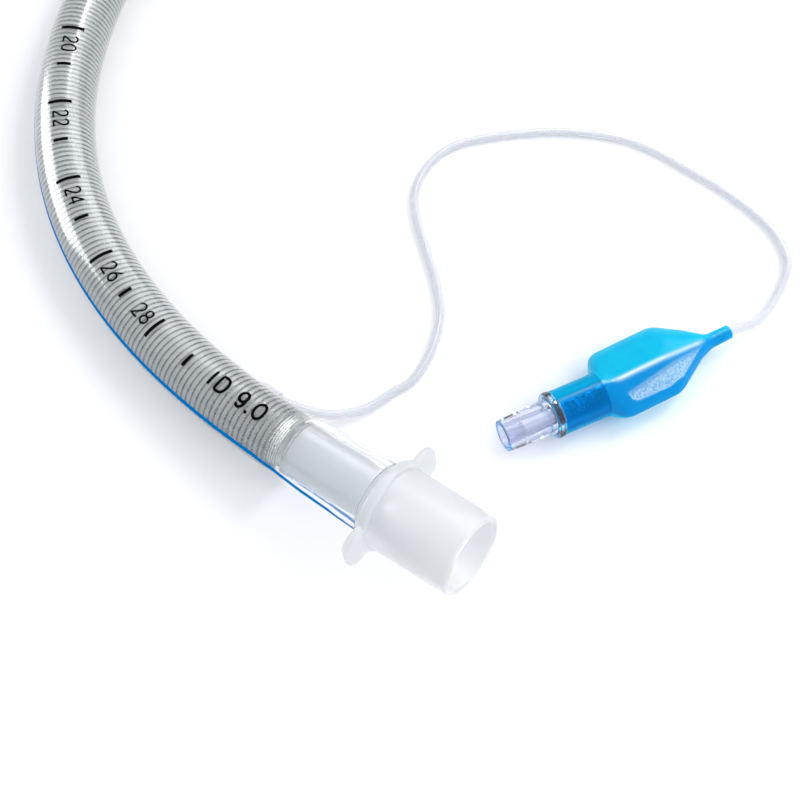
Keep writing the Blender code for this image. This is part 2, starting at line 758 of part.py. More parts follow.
SEAT_AT = PORT_LENGTH + SEAT_DEPTH
BALLOON_FROM = PORT_LENGTH + COLLAR_LENGTH + SEAT_GAP
BALLOON_SLEEVE_RADIUS = BODY_RADIUS + RIB_HEIGHT + SEAT_GAP + BALLOON_WALL
TAIL_RADIUS = LINE_DIAMETER / 2 + TAIL_GAP + TAIL_WALL

clear_plastic = material("clear_plastic", (0.82, 0.85, 0.86), 0.15, alpha=0.5)
lining_plastic = material("lining_plastic", (0.84, 0.86, 0.86), 0.25, alpha=0.5)
steel = material("steel", (0.62, 0.64, 0.64), 0.25, metallic=1.0)
milky_plastic = material("milky_plastic", (0.86, 0.88, 0.91), 0.35)
film = material("film", (0.88, 0.90, 0.92), 0.2, alpha=0.4)
blue_film = material("blue_film", (0.0, 0.45, 0.85), 0.25, alpha=0.8)
valve_plastic = material("valve_plastic", (0.80, 0.82, 0.92), 0.1, alpha=0.5)
white_plastic = material("white_plastic", (0.9, 0.9, 0.88), 0.4)
seal_rubber = material("seal_rubber", (0.10, 0.10, 0.11), 0.7)

tube_wall(clear_plastic)
reinforcement(lining_plastic, steel)
cuff(film)
connector(milky_plastic)
line_sleeve(clear_plastic)
inflation_line(clear_plastic)
pilot_balloon(blue_film)
valve_body(valve_plastic)
valve_insides(white_plastic, seal_rubber, steel, valve_cap(white_plastic))
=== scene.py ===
"""Looks of the reinforced endotracheal tube: its clear wall and wire, marks, balloon and line.

Sizes are in metres unless a name or comment says otherwise. Distances along the tube are
counted from the connector's flange, and along the valve from the port's mouth.
"""

import math
from bisect import bisect_right

import bmesh
import bpy
from mathutils import Matrix, Vector


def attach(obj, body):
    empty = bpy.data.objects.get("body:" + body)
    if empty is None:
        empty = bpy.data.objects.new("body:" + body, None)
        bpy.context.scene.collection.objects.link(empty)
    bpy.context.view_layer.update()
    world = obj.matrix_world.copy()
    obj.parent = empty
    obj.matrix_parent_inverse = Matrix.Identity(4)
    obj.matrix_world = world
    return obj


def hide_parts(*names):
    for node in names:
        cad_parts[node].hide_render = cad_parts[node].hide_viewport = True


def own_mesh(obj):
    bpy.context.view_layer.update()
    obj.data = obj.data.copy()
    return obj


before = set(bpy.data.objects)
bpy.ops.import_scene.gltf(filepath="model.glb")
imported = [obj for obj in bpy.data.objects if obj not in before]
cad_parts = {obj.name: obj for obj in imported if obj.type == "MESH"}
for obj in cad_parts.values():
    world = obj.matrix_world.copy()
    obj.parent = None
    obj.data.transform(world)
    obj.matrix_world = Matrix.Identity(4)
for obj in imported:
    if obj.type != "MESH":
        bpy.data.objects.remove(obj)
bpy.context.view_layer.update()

MM = 0.001
UP = Vector((0, 0, 1))
SEAT_GAP = 0.3 * MM

# Camera, as solved from the photograph
CAMERA_PLACE = (130.86 * MM, -196.16 * MM, 237.60 * MM)
CAMERA_LOOKS_AT = (48.58 * MM, -88.05 * MM, 0.0)
LENS_MM = 65.9

# Tube, as in the solid part
BORE = 9.0 * MM
TUBE_WALL = 1.58 * MM
TUBE_LENGTH = 334 * MM
NECK = (61.6 * MM, -111.1 * MM)
MACHINE_RADIUS = 214 * MM
BEND_RADIUS = 87 * MM
PATIENT_RADIUS = 160 * MM
BEND_FROM = 98 * MM
BEND_TO = 105 * MM
PATIENT_FROM = 165 * MM
NECK_SLOPE = 0.123
NECK_LIFT_LENGTH = 75 * MM
TIP_ZONE = 24 * MM
WEB_LENGTH = 1.0 * MM
BARREL_LENGTH = 17.2 * MM
BARREL_RADIUS = 4.85 * MM
STATION_TURN = math.radians(1.2)
STATION_LENGTH = 4 * MM
TUBE_SIDES = 80
CORNER_STEPS = 4
ENDING = 0.25 * MM
FLARE_TAPER = 0.15 * MM
LINING = (4.56 * MM, 5.08 * MM)
CLOUD_FROM = 55 * MM
CLOUD_TO = 110 * MM
CLOUD_ROUGHNESS = 0.16
TIP_TINT = (0.70, 0.745, 0.77)

# Wire in the wall
WIRE_THICKNESS = 0.4 * MM
WIRE_AT = 5.33 * MM
WIRE_PITCH = 1.17 * MM
CLOSED_PITCH = 0.46 * MM
CLOSED_LENGTH = 1.7 * MM
WIRE_STEPS = 28
WIRE_SIDES = 8

# Patient end
BEVEL_ANGLE = math.radians(38)
EYE_LENGTH = 7.5 * MM
EYE_WIDTH = 5.5 * MM
EYE_FROM_TIP = 12.5 * MM
EYE_SIDES = 48
CUFF_LENGTH = 36 * MM
CUFF_FROM_TIP = 26 * MM
CUFF_RADIUS = 7.9 * MM
CUFF_COLLAR = 4 * MM
CUFF_SHOULDER = 5 * MM
CUFF_RISE = 60 * MM
CUFF_PLEATS = 7
PLEAT_DEPTH = 0.5 * MM
PLEAT_DRIFT = 1.3
CUFF_LIFT = 0.12 * MM
CUFF_STEPS = 72

# Printed marks
MARK_29_AT = 43.7 * MM
FIRST_MARK, LAST_MARK = 29, 12
MARK_ANGLE_AT_29 = math.radians(-9.8)
MARK_ANGLE_TURN = math.radians(14.4)
LONG_MARK = 4.9 * MM
SHORT_MARK = 2.9 * MM
MARK_THICKNESS = 0.75 * MM
NUMBER_STARTS = 2.4 * MM
NUMBER_28_STARTS = -5.85 * MM
NUMBER_TURN = math.radians(2)
DIGIT_HEIGHT = 2.95 * MM
DIGIT_WIDTH = 1.7 * MM
DIGIT_GAP = 0.65 * MM
DIGIT_STROKE = 0.4 * MM
SIZE_HEIGHT = 3.1 * MM
SIZE_STROKE = 0.58 * MM
SIZE_TURN = math.radians(-4.7)
SIZE_MARKS = (
    ("I", 37.3, 37.3), ("D", 35.8, 33.5), ("9", 30.7, 28.8),
    (".", 28.05, 27.45), ("0", 26.6, 24.5),
)
PRINT_LIFT = 0.02 * MM
STRIPE_WIDTH = 1.2 * MM
STRIPE_ROUTE = (
    (0.4, -101.0), (3.5, -96.0), (6.7, -90.5), (12.0, -87.5), (17.4, -86.5),
    (20.8, -84.4), (24.0, -80.5), (30.0, -80.0), (400.0, -80.0),
)

# Connector
CONE_END_RADIUS = 7.6 * MM
CONE_TAPER = 1 / 80
CONNECTOR_LENGTH = 19.8 * MM
HUB_FROM = 0.08 * MM
FLANGE_FROM = 1.5 * MM
FLANGE_THICKNESS = 1.9 * MM
FLANGE_RADIUS = 8.6 * MM
EAR_REACH = 12.3 * MM
EAR_HEIGHT = 8.0 * MM
EAR_CORNER = 2.6 * MM
EAR_STEP = 0.2 * MM
BARREL_BORE_RADIUS = 3.9 * MM
MOUTH_RADIUS = 6.3 * MM
FUNNEL_LENGTH = 3.0 * MM
FUNNEL_RADIUS = 5.9 * MM
MOUTH_ROUNDING = 0.6 * MM
EDGE_ROUNDING = 0.5 * MM
RIM_ROUNDING = 1.0 * MM
CONNECTOR_SIDES = 120

# Inflation line
LINE_DIAMETER = 1.8 * MM
LINE_BORE = 0.9 * MM
LINE_STEP = 0.8 * MM
LINE_SIDES = 20
LINE_ROUTE = [
    (29.87, -103.98, 4.88), (32.55, -103.75, 5.13), (34.54, -103.55, 5.3), (36.4, -102.85, 5.05),
    (38.21, -102.01, 4.4), (40.23, -100.65, 3.6), (42.4, -98.51, 2.6), (45.26, -93.84, 1.4),
    (47.08, -87.66, 0.95), (48.3, -83.1, 0.9), (47, -75.9, 0.9), (43.6, -68.6, 0.9),
    (38.5, -63.1, 0.9), (31.8, -57.7, 0.9), (25.2, -52, 0.9), (21.3, -46.4, 0.9),
    (20, -39.1, 0.9), (21.9, -32.4, 0.9), (27.3, -25.6, 0.9), (35.5, -18, 0.9),
    (45, -12.2, 0.9), (53.4, -9.8, 0.9), (62.9, -9.6, 0.9), (72.6, -9.9, 0.9),
    (82.4, -11.8, 0.9), (88.6, -15.2, 0.9), (91.7, -19.4, 1), (93.3, -26.6, 1.6),
    (93.5, -31, 2.5), (93.1, -35.15, 3.4), (91.75, -38.3, 4.2), (90.42, -40.84, 4.45),
    (89.31, -43.3, 4.45),
]

# Pilot balloon and valve
VALVE_MOUTH = (69.5 * MM, -84.8 * MM)
VALVE_HEADING = math.radians(62.8)
BALLOON_HEADING = math.radians(65.8)
PORT_RADIUS = 3.03 * MM
PORT_BASE_RADIUS = 3.35 * MM
PORT_BORE_RADIUS = 2.15 * MM
PORT_TAPER = 0.03
PORT_LENGTH = 9.6 * MM
COLLAR_RADIUS = 4.45 * MM
COLLAR_LENGTH = 1.2 * MM
BODY_RADIUS = 3.35 * MM
BODY_LENGTH = 10.3 * MM
RIB_HEIGHT = 0.15 * MM
RIB_PITCH = 1.8 * MM
RIB_COUNT = 4
CHAMBER_RADIUS = 2.6 * MM
SEAT_DEPTH = 0.4 * MM
# Painted blue light on the valve port's mouth, standing in for the balloon's blue carried through
# the clear plastic
MOUTH_PAINTED_BLUE_LIGHT = (0.30, 0.50, 0.92)
BALLOON_SLEEVE_LENGTH = 9.1 * MM
BALLOON_LENGTH = 23.9 * MM
BALLOON_NEAR = 6.75 * MM
BALLOON_FAR = 8.1 * MM
BALLOON_RIDGE = 0.7 * MM
BALLOON_TOP = 4.2 * MM
BALLOON_BOTTOM = 4.29 * MM
BALLOON_WALL = 0.45 * MM
# Shares of the balloon's length, near, far, height and ridge, then its squareness
BALLOON_FORM = (
    (0.07, 0.93, 0.93, 1.0, 0.7, 1.6),
    (0.13, 1.0, 1.0, 1.0, 1.0, 1.5),
    (0.55, 1.0, 1.0, 0.98, 1.0, 1.5),
    (0.62, 0.91, 1.0, 0.95, 1.0, 1.5),
    (0.68, 0.78, 0.96, 0.88, 1.0, 1.5),
    (0.87, 0.38, 0.56, 0.60, 0.6, 1.6),
)
TAIL_LENGTH = 4.6 * MM
TAIL_WALL = 0.3 * MM
TAIL_GAP = 0.15 * MM
# Corners of the balloon's sunken flank, as (distance, offset) in millimetres
SUNKEN_FLANK = ((3.1, 3.2), (3.7, 4.8), (4.9, 5.45), (11.7, 5.6), (14.9, 5.0), (22.3, 0.6))
SUNKEN_DEPTH = 0.8 * MM
# Width in millimetres of the painted highlight along the balloon's ridge
RIDGE_HIGHLIGHT_WIDTH = 0.42
VALVE_SIDES = 72
BALLOON_SIDES = 96
BALLOON_STEPS = 130
EASE_REACH = 0.5 * MM


def clamped(value):
    """Hold a value between 0 and 1."""
    return min(max(value, 0.0), 1.0)


def smooth_step(value):
    """Blend from 0 to 1 without a kink at either end."""
    value = clamped(value)
    return value * value * (3 - 2 * value)


def circle(count):
    """List evenly spaced angles round a circle."""
    return [2 * math.pi * i / count for i in range(count)]


class Axis:
    """A straight or bent axis that round pieces are turned about."""

    def __init__(self, stations):
        self.stations = stations
        self.distances = [station[0] for station in stations]

    @classmethod
    def straight(cls, origin, direction):
        """Make a straight axis."""
        along = direction.normalized()
        side = along.cross(UP).normalized()
        up = side.cross(along)
        return cls([(0.0, origin, side, up), (1.0, origin + along, side, up)])

    def frame(self, distance):
        """Return the centre, side and up vectors at a distance."""
        index = bisect_right(self.distances, distance) - 1
        index = min(max(index, 0), len(self.stations) - 2)
        first, second = self.stations[index], self.stations[index + 1]
        share = (distance - first[0]) / (second[0] - first[0])
        return [a.lerp(b, share) for a, b in zip(first[1:], second[1:])]

    def place(self, distance, radius, angle):
        """Return the point at a radius and an angle, from up towards side."""
        centre, side, up = self.frame(distance)
        return centre + radius * (math.cos(angle) * up + math.sin(angle) * side)

    def follow(self, profile, closed):
        """Add a point to a profile wherever the axis has a station."""
        points = []
        ends = profile[1:] + profile[:1] if closed else profile[1:]
        for (start, first), (end, second) in zip(profile, ends):
            points.append((start, first))
            low, high = sorted((start, end))
            inner = [d for d in self.distances if low < d < high]
            for distance in inner if start < end else inner[::-1]:
                share = (distance - start) / (end - start)
                points.append((distance, first + share * (second - first)))
        if not closed:
            points.append(profile[-1])
        return points


def curvature(distance):
    """Return the tube's curvature: straight on the barrel, then bent, then eased."""
    slight, tight = 1 / MACHINE_RADIUS, 1 / BEND_RADIUS
    if distance < COIL_FROM:
        return 0.0
    if distance < BEND_FROM:
        share = (distance - COIL_FROM) / (BEND_FROM - COIL_FROM)
        return slight + (tight - slight) * smooth_step(share)
    eased = smooth_step((distance - BEND_TO) / (PATIENT_FROM - BEND_TO))
    return tight + (1 / PATIENT_RADIUS - tight) * eased


def height(distance):
    """Return the centre line's height: up at the neck, level, up at the cuff."""
    bent = NECK_LIFT_LENGTH - COIL_FROM
    lift = NECK_SLOPE / (2 * bent) * max(0.0, NECK_LIFT_LENGTH - max(distance, COIL_FROM)) ** 2
    lift += NECK_SLOPE * max(0.0, COIL_FROM - distance)
    cuff_starts = TUBE_LENGTH - CUFF_FROM_TIP - CUFF_LENGTH
    rise = smooth_step((distance - cuff_starts + CUFF_RISE) / CUFF_RISE)
    return TUBE_RADIUS + lift + (CUFF_RADIUS - TUBE_RADIUS) * rise


def tube_axis():
    """Step along the tube's centre line, with a station at each small turn."""
    step = 0.5 * MM
    point = Vector((NECK[0], NECK[1], 0))
    heading = math.pi
    stations = []
    distance = last_distance = 0.0
    last_heading = heading
    while distance < TUBE_LENGTH + STATION_LENGTH:
        slope = (height(distance + step) - height(distance)) / step
        turned = abs(heading - last_heading) > STATION_TURN
        if not stations or turned or distance - last_distance > STATION_LENGTH:
            along = Vector((math.cos(heading), math.sin(heading), slope)).normalized()
            side = along.cross(UP).normalized()
            centre = Vector((point.x, point.y, height(distance)))
            stations.append((distance, centre, side, side.cross(along)))
            last_distance, last_heading = distance, heading
        level_step = step / math.sqrt(1 + slope * slope)
        heading -= curvature(distance) * step
        point += level_step * Vector((math.cos(heading), math.sin(heading), 0))
        distance += step
    return Axis(stations)


TUBE_RADIUS = BORE / 2 + TUBE_WALL
SOCKET_RADIUS = BARREL_RADIUS + SEAT_GAP
FLARE_RADIUS = SOCKET_RADIUS + TUBE_WALL
SOCKET_DEPTH = BARREL_LENGTH + SEAT_GAP
FLARE_LENGTH = 0.7 * SOCKET_DEPTH
FLARE_END = FLARE_RADIUS - FLARE_TAPER
COIL_FROM = SOCKET_DEPTH + WEB_LENGTH
COIL_TO = TUBE_LENGTH - TIP_ZONE
SEAT_AT = PORT_LENGTH + SEAT_DEPTH
BODY_FROM = PORT_LENGTH + COLLAR_LENGTH
BODY_TO = BODY_FROM + BODY_LENGTH
BALLOON_FROM = BODY_FROM + SEAT_GAP
BALLOON_SLEEVE_RADIUS = BODY_RADIUS + RIB_HEIGHT + SEAT_GAP + BALLOON_WALL
TAIL_RADIUS = LINE_DIAMETER / 2 + TAIL_GAP + TAIL_WALL
TUBE = tube_axis()


# Meshes


def shade(mesh_data, sharp_from=38):
    """Shade a mesh smooth up to an angle in degrees."""
    mesh_data.shade_smooth()
    mesh_data.set_sharp_from_angle(angle=math.radians(sharp_from))


def linked(name, data):
    """Put an object in the scene."""
    thing = bpy.data.objects.new(name, data)
    bpy.context.collection.objects.link(thing)
    return thing


def add_piece(name, mesh_data, finish, replaces=None):
    """Put a mesh in the scene as a piece of the tube's body."""
    shade(mesh_data)
    piece = linked(name, mesh_data)
    mesh_data.materials.append(finish)
    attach(piece, "tube")
    if replaces:
        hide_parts(replaces)
    return piece


def capped(rings):
    """Close a run of rings with a pole at each end."""
    ends = [[sum(ring, Vector()) / len(ring)] for ring in (rings[0], rings[-1])]
    return [ends[0], *rings, ends[1]]


def skin(name, rings, lays=None, looped=False):
    """Skin closed rings of points, or single points as poles, into a mesh.

    A point's lay is (distance in millimetres, angle). Materials read it as distance, cosine, sine.
    """
    points, faces, starts = [], [], []
    for ring in rings:
        starts.append(len(points))
        points.extend(ring)
    pairs = list(zip(range(len(rings)), range(1, len(rings))))
    if looped:
        pairs.append((len(rings) - 1, 0))
    for a, b in pairs:
        first, second = rings[a], rings[b]
        count = max(len(first), len(second))
        for i in range(count):
            j = (i + 1) % count
            if len(first) == 1:
                faces.append((starts[a], starts[b] + i, starts[b] + j))
            elif len(second) == 1:
                faces.append((starts[a] + i, starts[b], starts[a] + j))
            else:
                faces.append((starts[a] + i, starts[b] + i, starts[b] + j, starts[a] + j))
    mesh_data = bpy.data.meshes.new(name)
    mesh_data.from_pydata([tuple(point) for point in points], [], faces)
    if lays:
        lay = mesh_data.attributes.new("lay", "FLOAT_VECTOR", "POINT")
        flat = []
        for distance, angle in lays:
            flat.extend((distance, math.cos(angle), math.sin(angle)))
        lay.data.foreach_set("vector", flat)
    shape = bmesh.new()
    shape.from_mesh(mesh_data)
    return facing_out(shape, mesh_data)


def facing_out(shape, mesh_data):
    """Turn a shape's faces outwards and write it to a mesh."""
    bmesh.ops.recalc_face_normals(shape, faces=shape.faces[:])
    shape.to_mesh(mesh_data)
    shape.free()
    return mesh_data


def turned(name, axis, profile, sides, closed=None):
    """Turn a (distance, radius) profile about an axis, round its bends."""
    if closed is None:
        closed = profile[0][1] > 0
    rings, lays = [], []
    for distance, radius in axis.follow(profile, closed):
        angles = circle(sides if radius > 0 else 1)
        rings.append([axis.place(distance, radius, angle) for angle in angles])
        lays.extend((distance / MM, angle) for angle in angles)
    return skin(name, rings, lays, looped=closed)


def rounded(profile, radius):
    """Round an open profile's corners. A third value is a corner's own rounding."""
    points = [Vector(point[:2]) for point in profile]
    reaches = [point[2] if len(point) > 2 else radius for point in profile]
    result = [points[0]]
    for before, corner, after, limit in zip(points, points[1:], points[2:], reaches[1:]):
        back, ahead = before - corner, after - corner
        reach = min(limit, 0.45 * back.length, 0.45 * ahead.length)
        start = corner + reach * back.normalized()
        end = corner + reach * ahead.normalized()
        for k in range(CORNER_STEPS + 1):
            t = k / CORNER_STEPS
            result.append(start.lerp(corner, t).lerp(corner.lerp(end, t), t))
    result.append(points[-1])
    return [tuple(point) for point in result]


def cut(target, tool_mesh, operation="DIFFERENCE"):
    """Cut a mesh out of a target, or join it on, and leave no tool behind."""
    tool = linked(tool_mesh.name, tool_mesh)
    change = target.modifiers.new(tool.name, "BOOLEAN")
    change.operation = operation
    change.object = tool
    change.solver = "EXACT"
    bpy.context.view_layer.update()
    depsgraph = bpy.context.evaluated_depsgraph_get()
    result = bpy.data.meshes.new_from_object(target.evaluated_get(depsgraph))
    target.modifiers.clear()
    target.data = result
    bpy.data.objects.remove(tool)


# Materials


class Finish:
    """A node material under construction."""

    def __init__(self, name):
        self.material = bpy.data.materials.new(name)
        self.material.use_nodes = True
        self.tree = self.material.node_tree
        self.tree.nodes.clear()

    def node(self, kind, settings=None, inputs=None):
        """Add a node with its settings and inputs."""
        node = self.tree.nodes.new("ShaderNode" + kind)
        for key, value in (settings or {}).items():
            setattr(node, key, value)
        for key, value in (inputs or {}).items():
            if isinstance(value, bpy.types.NodeSocket):
                self.tree.links.new(value, node.inputs[key])
            else:
                node.inputs[key].default_value = value
        return node

    def math(self, operation, *values):
        """Add a Math node and return its output."""
        inputs = dict(enumerate(values))
        return self.node("Math", {"operation": operation}, inputs).outputs[0]

    def noise(self, scale, detail=3.0, coordinates=None):
        """Return a noise pattern's value."""
        inputs = {"Scale": scale, "Detail": detail}
        inputs["Vector"] = coordinates or self.place()
        return self.node("TexNoise", None, inputs).outputs["Fac"]

    def place(self):
        """Return the point's place on the piece itself."""
        return self.node("TexCoord").outputs["Object"]

    def lay(self):
        """Return the distance in millimetres and the angle."""
        lay = self.node("Attribute", {"attribute_name": "lay"}).outputs["Vector"]
        parts = self.node("SeparateXYZ", None, {0: lay}).outputs
        return parts[0], self.math("ARCTAN2", parts[2], parts[1])

    def bump(self, value, strength, distance, normal=None):
        """Return a normal that a pattern has pushed in and out."""
        inputs = {"Height": value, "Strength": strength, "Distance": distance}
        if normal:
            inputs["Normal"] = normal
        return self.node("Bump", None, inputs).outputs["Normal"]

    def between(self, share, low, high):
        """Return a colour between two colours or outputs."""
        ends = [end if isinstance(end, bpy.types.NodeSocket) else (*end, 1) for end in (low, high)]
        mix = self.node("Mix", {"data_type": "RGBA"}, {0: share, 6: ends[0], 7: ends[1]})
        return mix.outputs[2]

    def ranged(self, value, low, high, to_low=0.0, to_high=1.0):
        """Map a value from one range to another, held at the ends."""
        inputs = {0: value, 1: low, 2: high, 3: to_low, 4: to_high}
        return self.node("MapRange", None, inputs).outputs[0]

    def uneven(self, noise, low, high):
        """Return a value that a noise pattern moves between two."""
        return self.ranged(noise, 0.3, 0.7, low, high)

    def shader(self, kind, inputs):
        """Add a shader and return its output."""
        return self.node(kind, None, inputs).outputs[0]

    def finished(self, shader):
        """Send a shader to the surface and return the material."""
        self.node("OutputMaterial", None, {"Surface": shader})
        return self.material

    def mixed(self, share, first, second):
        """Return a mix of two shaders."""
        return self.shader("MixShader", {0: share, 1: first, 2: second})

    def lit_through(self, shader, tint):
        """Let lamps and bounced light pass straight through a clear shader."""
        path = self.node("LightPath").outputs
        passing = self.math("MAXIMUM", path["Is Shadow Ray"], path["Is Diffuse Ray"])
        return self.mixed(passing, shader, self.shader("BsdfTransparent", {"Color": (*tint, 1)}))

    def see_through(self, shader, tint, blend, facing_share, edge_share):
        """Let a share pass straight through, by how squarely it is seen."""
        facing = self.node("LayerWeight", None, {"Blend": blend}).outputs["Facing"]
        share = self.ranged(facing, 0.0, 1.0, facing_share, edge_share)
        return self.mixed(share, shader, self.shader("BsdfTransparent", {"Color": tint}))


def clear_wall(name, tint, shade, ribbed=0.0):
    """Make clear plastic: the tube's is ribbed and clouds, the valve's has painted blue light at
    its mouth.
    """
    finish = Finish(name)
    waviness = finish.noise(240.0)
    rough = finish.uneven(finish.noise(900.0), 0.0245, 0.0525)
    distance, angle = finish.lay()
    if ribbed:
        turns = finish.math("DIVIDE", distance, WIRE_PITCH / MM)
        phase = finish.math("MULTIPLY", turns, 2 * math.pi)
        rib = finish.math("SINE", finish.math("ADD", phase, angle))
        wired = finish.ranged(distance, COIL_FROM / MM, COIL_FROM / MM + 3)
        rib = finish.math("MULTIPLY", finish.math("MULTIPLY", rib, wired), ribbed)
        normal = finish.bump(rib, 1.0, 0.02 * MM)
        normal = finish.bump(waviness, 0.15, 0.05 * MM, normal)
        cloud = finish.ranged(distance, CLOUD_FROM / MM, CLOUD_TO / MM, 0.0, CLOUD_ROUGHNESS)
        rough = finish.math("ADD", rough, cloud)
        tip = finish.ranged(distance, COIL_TO / MM - 1, COIL_TO / MM + 1)
        colour = finish.between(tip, tint, TIP_TINT)
    else:
        normal = finish.bump(waviness, 0.2, 0.05 * MM)
        # Painted light: the port's mouth is tinted blue, standing in for the balloon's blue light
        # carried through the wall.
        mouth = finish.ranged(distance, 0.05, 0.35, 1.0, 0.0)
        colour = finish.between(mouth, tint, MOUTH_PAINTED_BLUE_LIGHT)
    inputs = {
        "Base Color": colour,
        "Roughness": rough,
        "IOR": 1.5,
        "Normal": normal,
        "Coat Weight": 1.0 if ribbed else 0.0,
        "Coat Roughness": 0.18,
        "Transmission Weight": 1.0,
    }
    shader = finish.shader("BsdfPrincipled", inputs)
    return finish.finished(finish.lit_through(shader, shade))


def lining_plastic():
    """Make the grey lining between the turns, clearest by the socket."""
    finish = Finish("lining_plastic")
    cloud = finish.noise(160.0)
    distance = finish.lay()[0]
    far = finish.ranged(distance, CLOUD_FROM / MM, CLOUD_TO / MM)
    grey = finish.between(cloud, (0.59, 0.62, 0.615), (0.65, 0.68, 0.675))
    clearest = (distance, COIL_FROM / MM, CLOUD_FROM / MM)
    inputs = {
        "Base Color": finish.between(far, grey, (0.54, 0.57, 0.56)),
        "Roughness": finish.ranged(*clearest, 0.08, 0.5),
        "Transmission Weight": finish.ranged(*clearest, 0.65, 0.22),
    }
    shader = finish.shader("BsdfPrincipled", inputs)
    return finish.finished(finish.lit_through(shader, (0.985, 0.987, 0.99)))


def steel():
    """Make drawn wire: painted bright as a highlight where it is closed up, painted darker as
    shade in the open turns.
    """
    finish = Finish("drawn_steel")
    grain = finish.noise(3000.0, 4.0)
    distance = finish.lay()[0]
    # Painted highlight: the closed-up turns, and the spring, which has no lay, get a bright silver
    # base.
    closed = finish.ranged(distance, COIL_FROM / MM + 1.6, COIL_FROM / MM + 3.4, 1.0, 0.0)
    far = finish.ranged(distance, CLOUD_FROM / MM, CLOUD_TO / MM)
    # Painted shade: the open turns get a dark steel, a little less dark far from the socket.
    darkest_painted_shade = finish.between(grain, (0.20, 0.22, 0.22), (0.32, 0.34, 0.34))
    open_turn_shade = finish.between(far, darkest_painted_shade, (0.36, 0.38, 0.38))
    inputs = {
        "Base Color": finish.between(closed, open_turn_shade, (0.80, 0.82, 0.82)),
        "Roughness": finish.uneven(grain, 0.22, 0.36),
        "Metallic": 1.0,
    }
    return finish.finished(finish.shader("BsdfPrincipled", inputs))


def plain(name, scale, low, high, roughness, inputs=None, detail=3.0):
    """Make a plain surface, a little uneven in its colour and its gloss."""
    finish = Finish(name)
    grain = finish.noise(scale, detail)
    inputs = dict(inputs or {}, Roughness=finish.uneven(grain, *roughness))
    inputs["Base Color"] = finish.between(grain, low, high)
    return finish.finished(finish.shader("BsdfPrincipled", inputs))


def ink(name, colour):
    """Make printed ink, a little uneven."""
    low = tuple(0.6 * part for part in colour)
    return plain(name, 2500.0, low, colour, (0.35, 0.6), {"Specular IOR Level": 0.0}, 4.0)


def milky_plastic():
    """Make milky plastic, clearer on the barrel."""
    finish = Finish("milky_plastic")
    cloud = finish.noise(90.0)
    x = finish.node("SeparateXYZ", None, {0: finish.place()}).outputs[0]
    barrel = finish.ranged(x, NECK[0] - 1 * MM, NECK[0] + 1 * MM, 1.0, 0.0)
    milk = finish.between(cloud, (0.72, 0.73, 0.74), (0.75, 0.76, 0.765))
    inputs = {
        "Base Color": finish.between(barrel, milk, (0.62, 0.65, 0.67)),
        "Roughness": finish.uneven(cloud, 0.42, 0.5),
        "IOR": 1.4,
        "Specular IOR Level": 0.35,
        "Transmission Weight": finish.ranged(barrel, 0.0, 1.0, 0.45, 0.6),
        "Subsurface Weight": 1.0,
        "Subsurface Radius": (1.0, 1.0, 1.0),
        "Subsurface Scale": 5.0 * MM,
    }
    shader = finish.shader("BsdfPrincipled", inputs)
    return finish.finished(finish.lit_through(shader, (0.945, 0.95, 0.957)))


def line_plastic():
    """Make the line's cloudy clear plastic, denser seen on edge."""
    finish = Finish("line_plastic")
    fine = finish.noise(500.0)
    inputs = {
        "Base Color": finish.between(fine, (0.80, 0.81, 0.85), (0.84, 0.85, 0.88)),
        "Roughness": finish.uneven(fine, 0.2, 0.3),
    }
    body = finish.shader("BsdfPrincipled", inputs)
    return finish.finished(finish.see_through(body, (0.96, 0.963, 0.975, 1), 0.4, 0.78, 0.35))


def blue_film(name, opening):
    """Make the balloon's film: frosted where sunk, with painted highlights along its ridge and
    round the sunken flank, and painted shade deepening the blue of the near flank.
    """
    finish = Finish(name)
    grain = finish.noise(1500.0, 4.0)
    patches = finish.noise(260.0)
    speckle = finish.noise(2400.0, 2.0)
    sunk, frosted, ridge_highlight, near = [
        finish.node("Attribute", {"attribute_name": key}).outputs["Fac"]
        for key in ("sunk", "frosted", "ridge_highlight", "near")
    ]
    patchy = finish.math("MULTIPLY", frosted, finish.ranged(speckle, 0.35, 0.6, 0.35, 0.85))
    middle = finish.math("ABSOLUTE", finish.math("MULTIPLY_ADD", sunk, 2.0, -1.0))
    # Painted highlight: a pale border round the sunken flank, where its lips would catch the
    # light.
    painted_rim_highlight = finish.math("MULTIPLY", finish.ranged(middle, 0.2, 1.0, 1.0, 0.0), frosted)
    # Pale where the film is frosted, its own frost, and where the painted highlights lie.
    pale = finish.math("MAXIMUM", finish.math("MAXIMUM", patchy, painted_rim_highlight), ridge_highlight)
    # Painted light and shade: the far flank is painted a lighter blue and the near flank a deeper
    # blue, as the light falls from behind.
    lit_far_blue = finish.between(patches, (0.0, 0.57, 0.86), (0.0, 0.82, 0.95))
    shaded_near_blue = finish.between(grain, (0.0, 0.34, 0.74), (0.0, 0.42, 0.84))
    blue = finish.between(near, lit_far_blue, shaded_near_blue)
    colour = finish.between(pale, blue, (0.82, 0.98, 1.0))
    # Painted shade in the see-through tint as well: deeper blue on the near flank.
    shaded_tint = finish.between(near, (0.0, 0.67, 0.92), (0.0, 0.44, 0.84))
    tint = finish.between(pale, shaded_tint, (0.74, 0.96, 1.0))
    inputs = {
        "Base Color": colour,
        "Roughness": finish.ranged(frosted, 0.0, 1.0, 0.14, 0.45),
        "Specular IOR Level": 0.2,
        "Normal": finish.bump(speckle, finish.math("MULTIPLY", frosted, 0.5), 0.08 * MM),
    }
    glow = finish.shader("BsdfTranslucent", {"Color": colour})
    body = finish.mixed(0.18, finish.shader("BsdfPrincipled", inputs), glow)
    return finish.finished(finish.see_through(body, tint, 0.3, opening, 0.5 * opening))


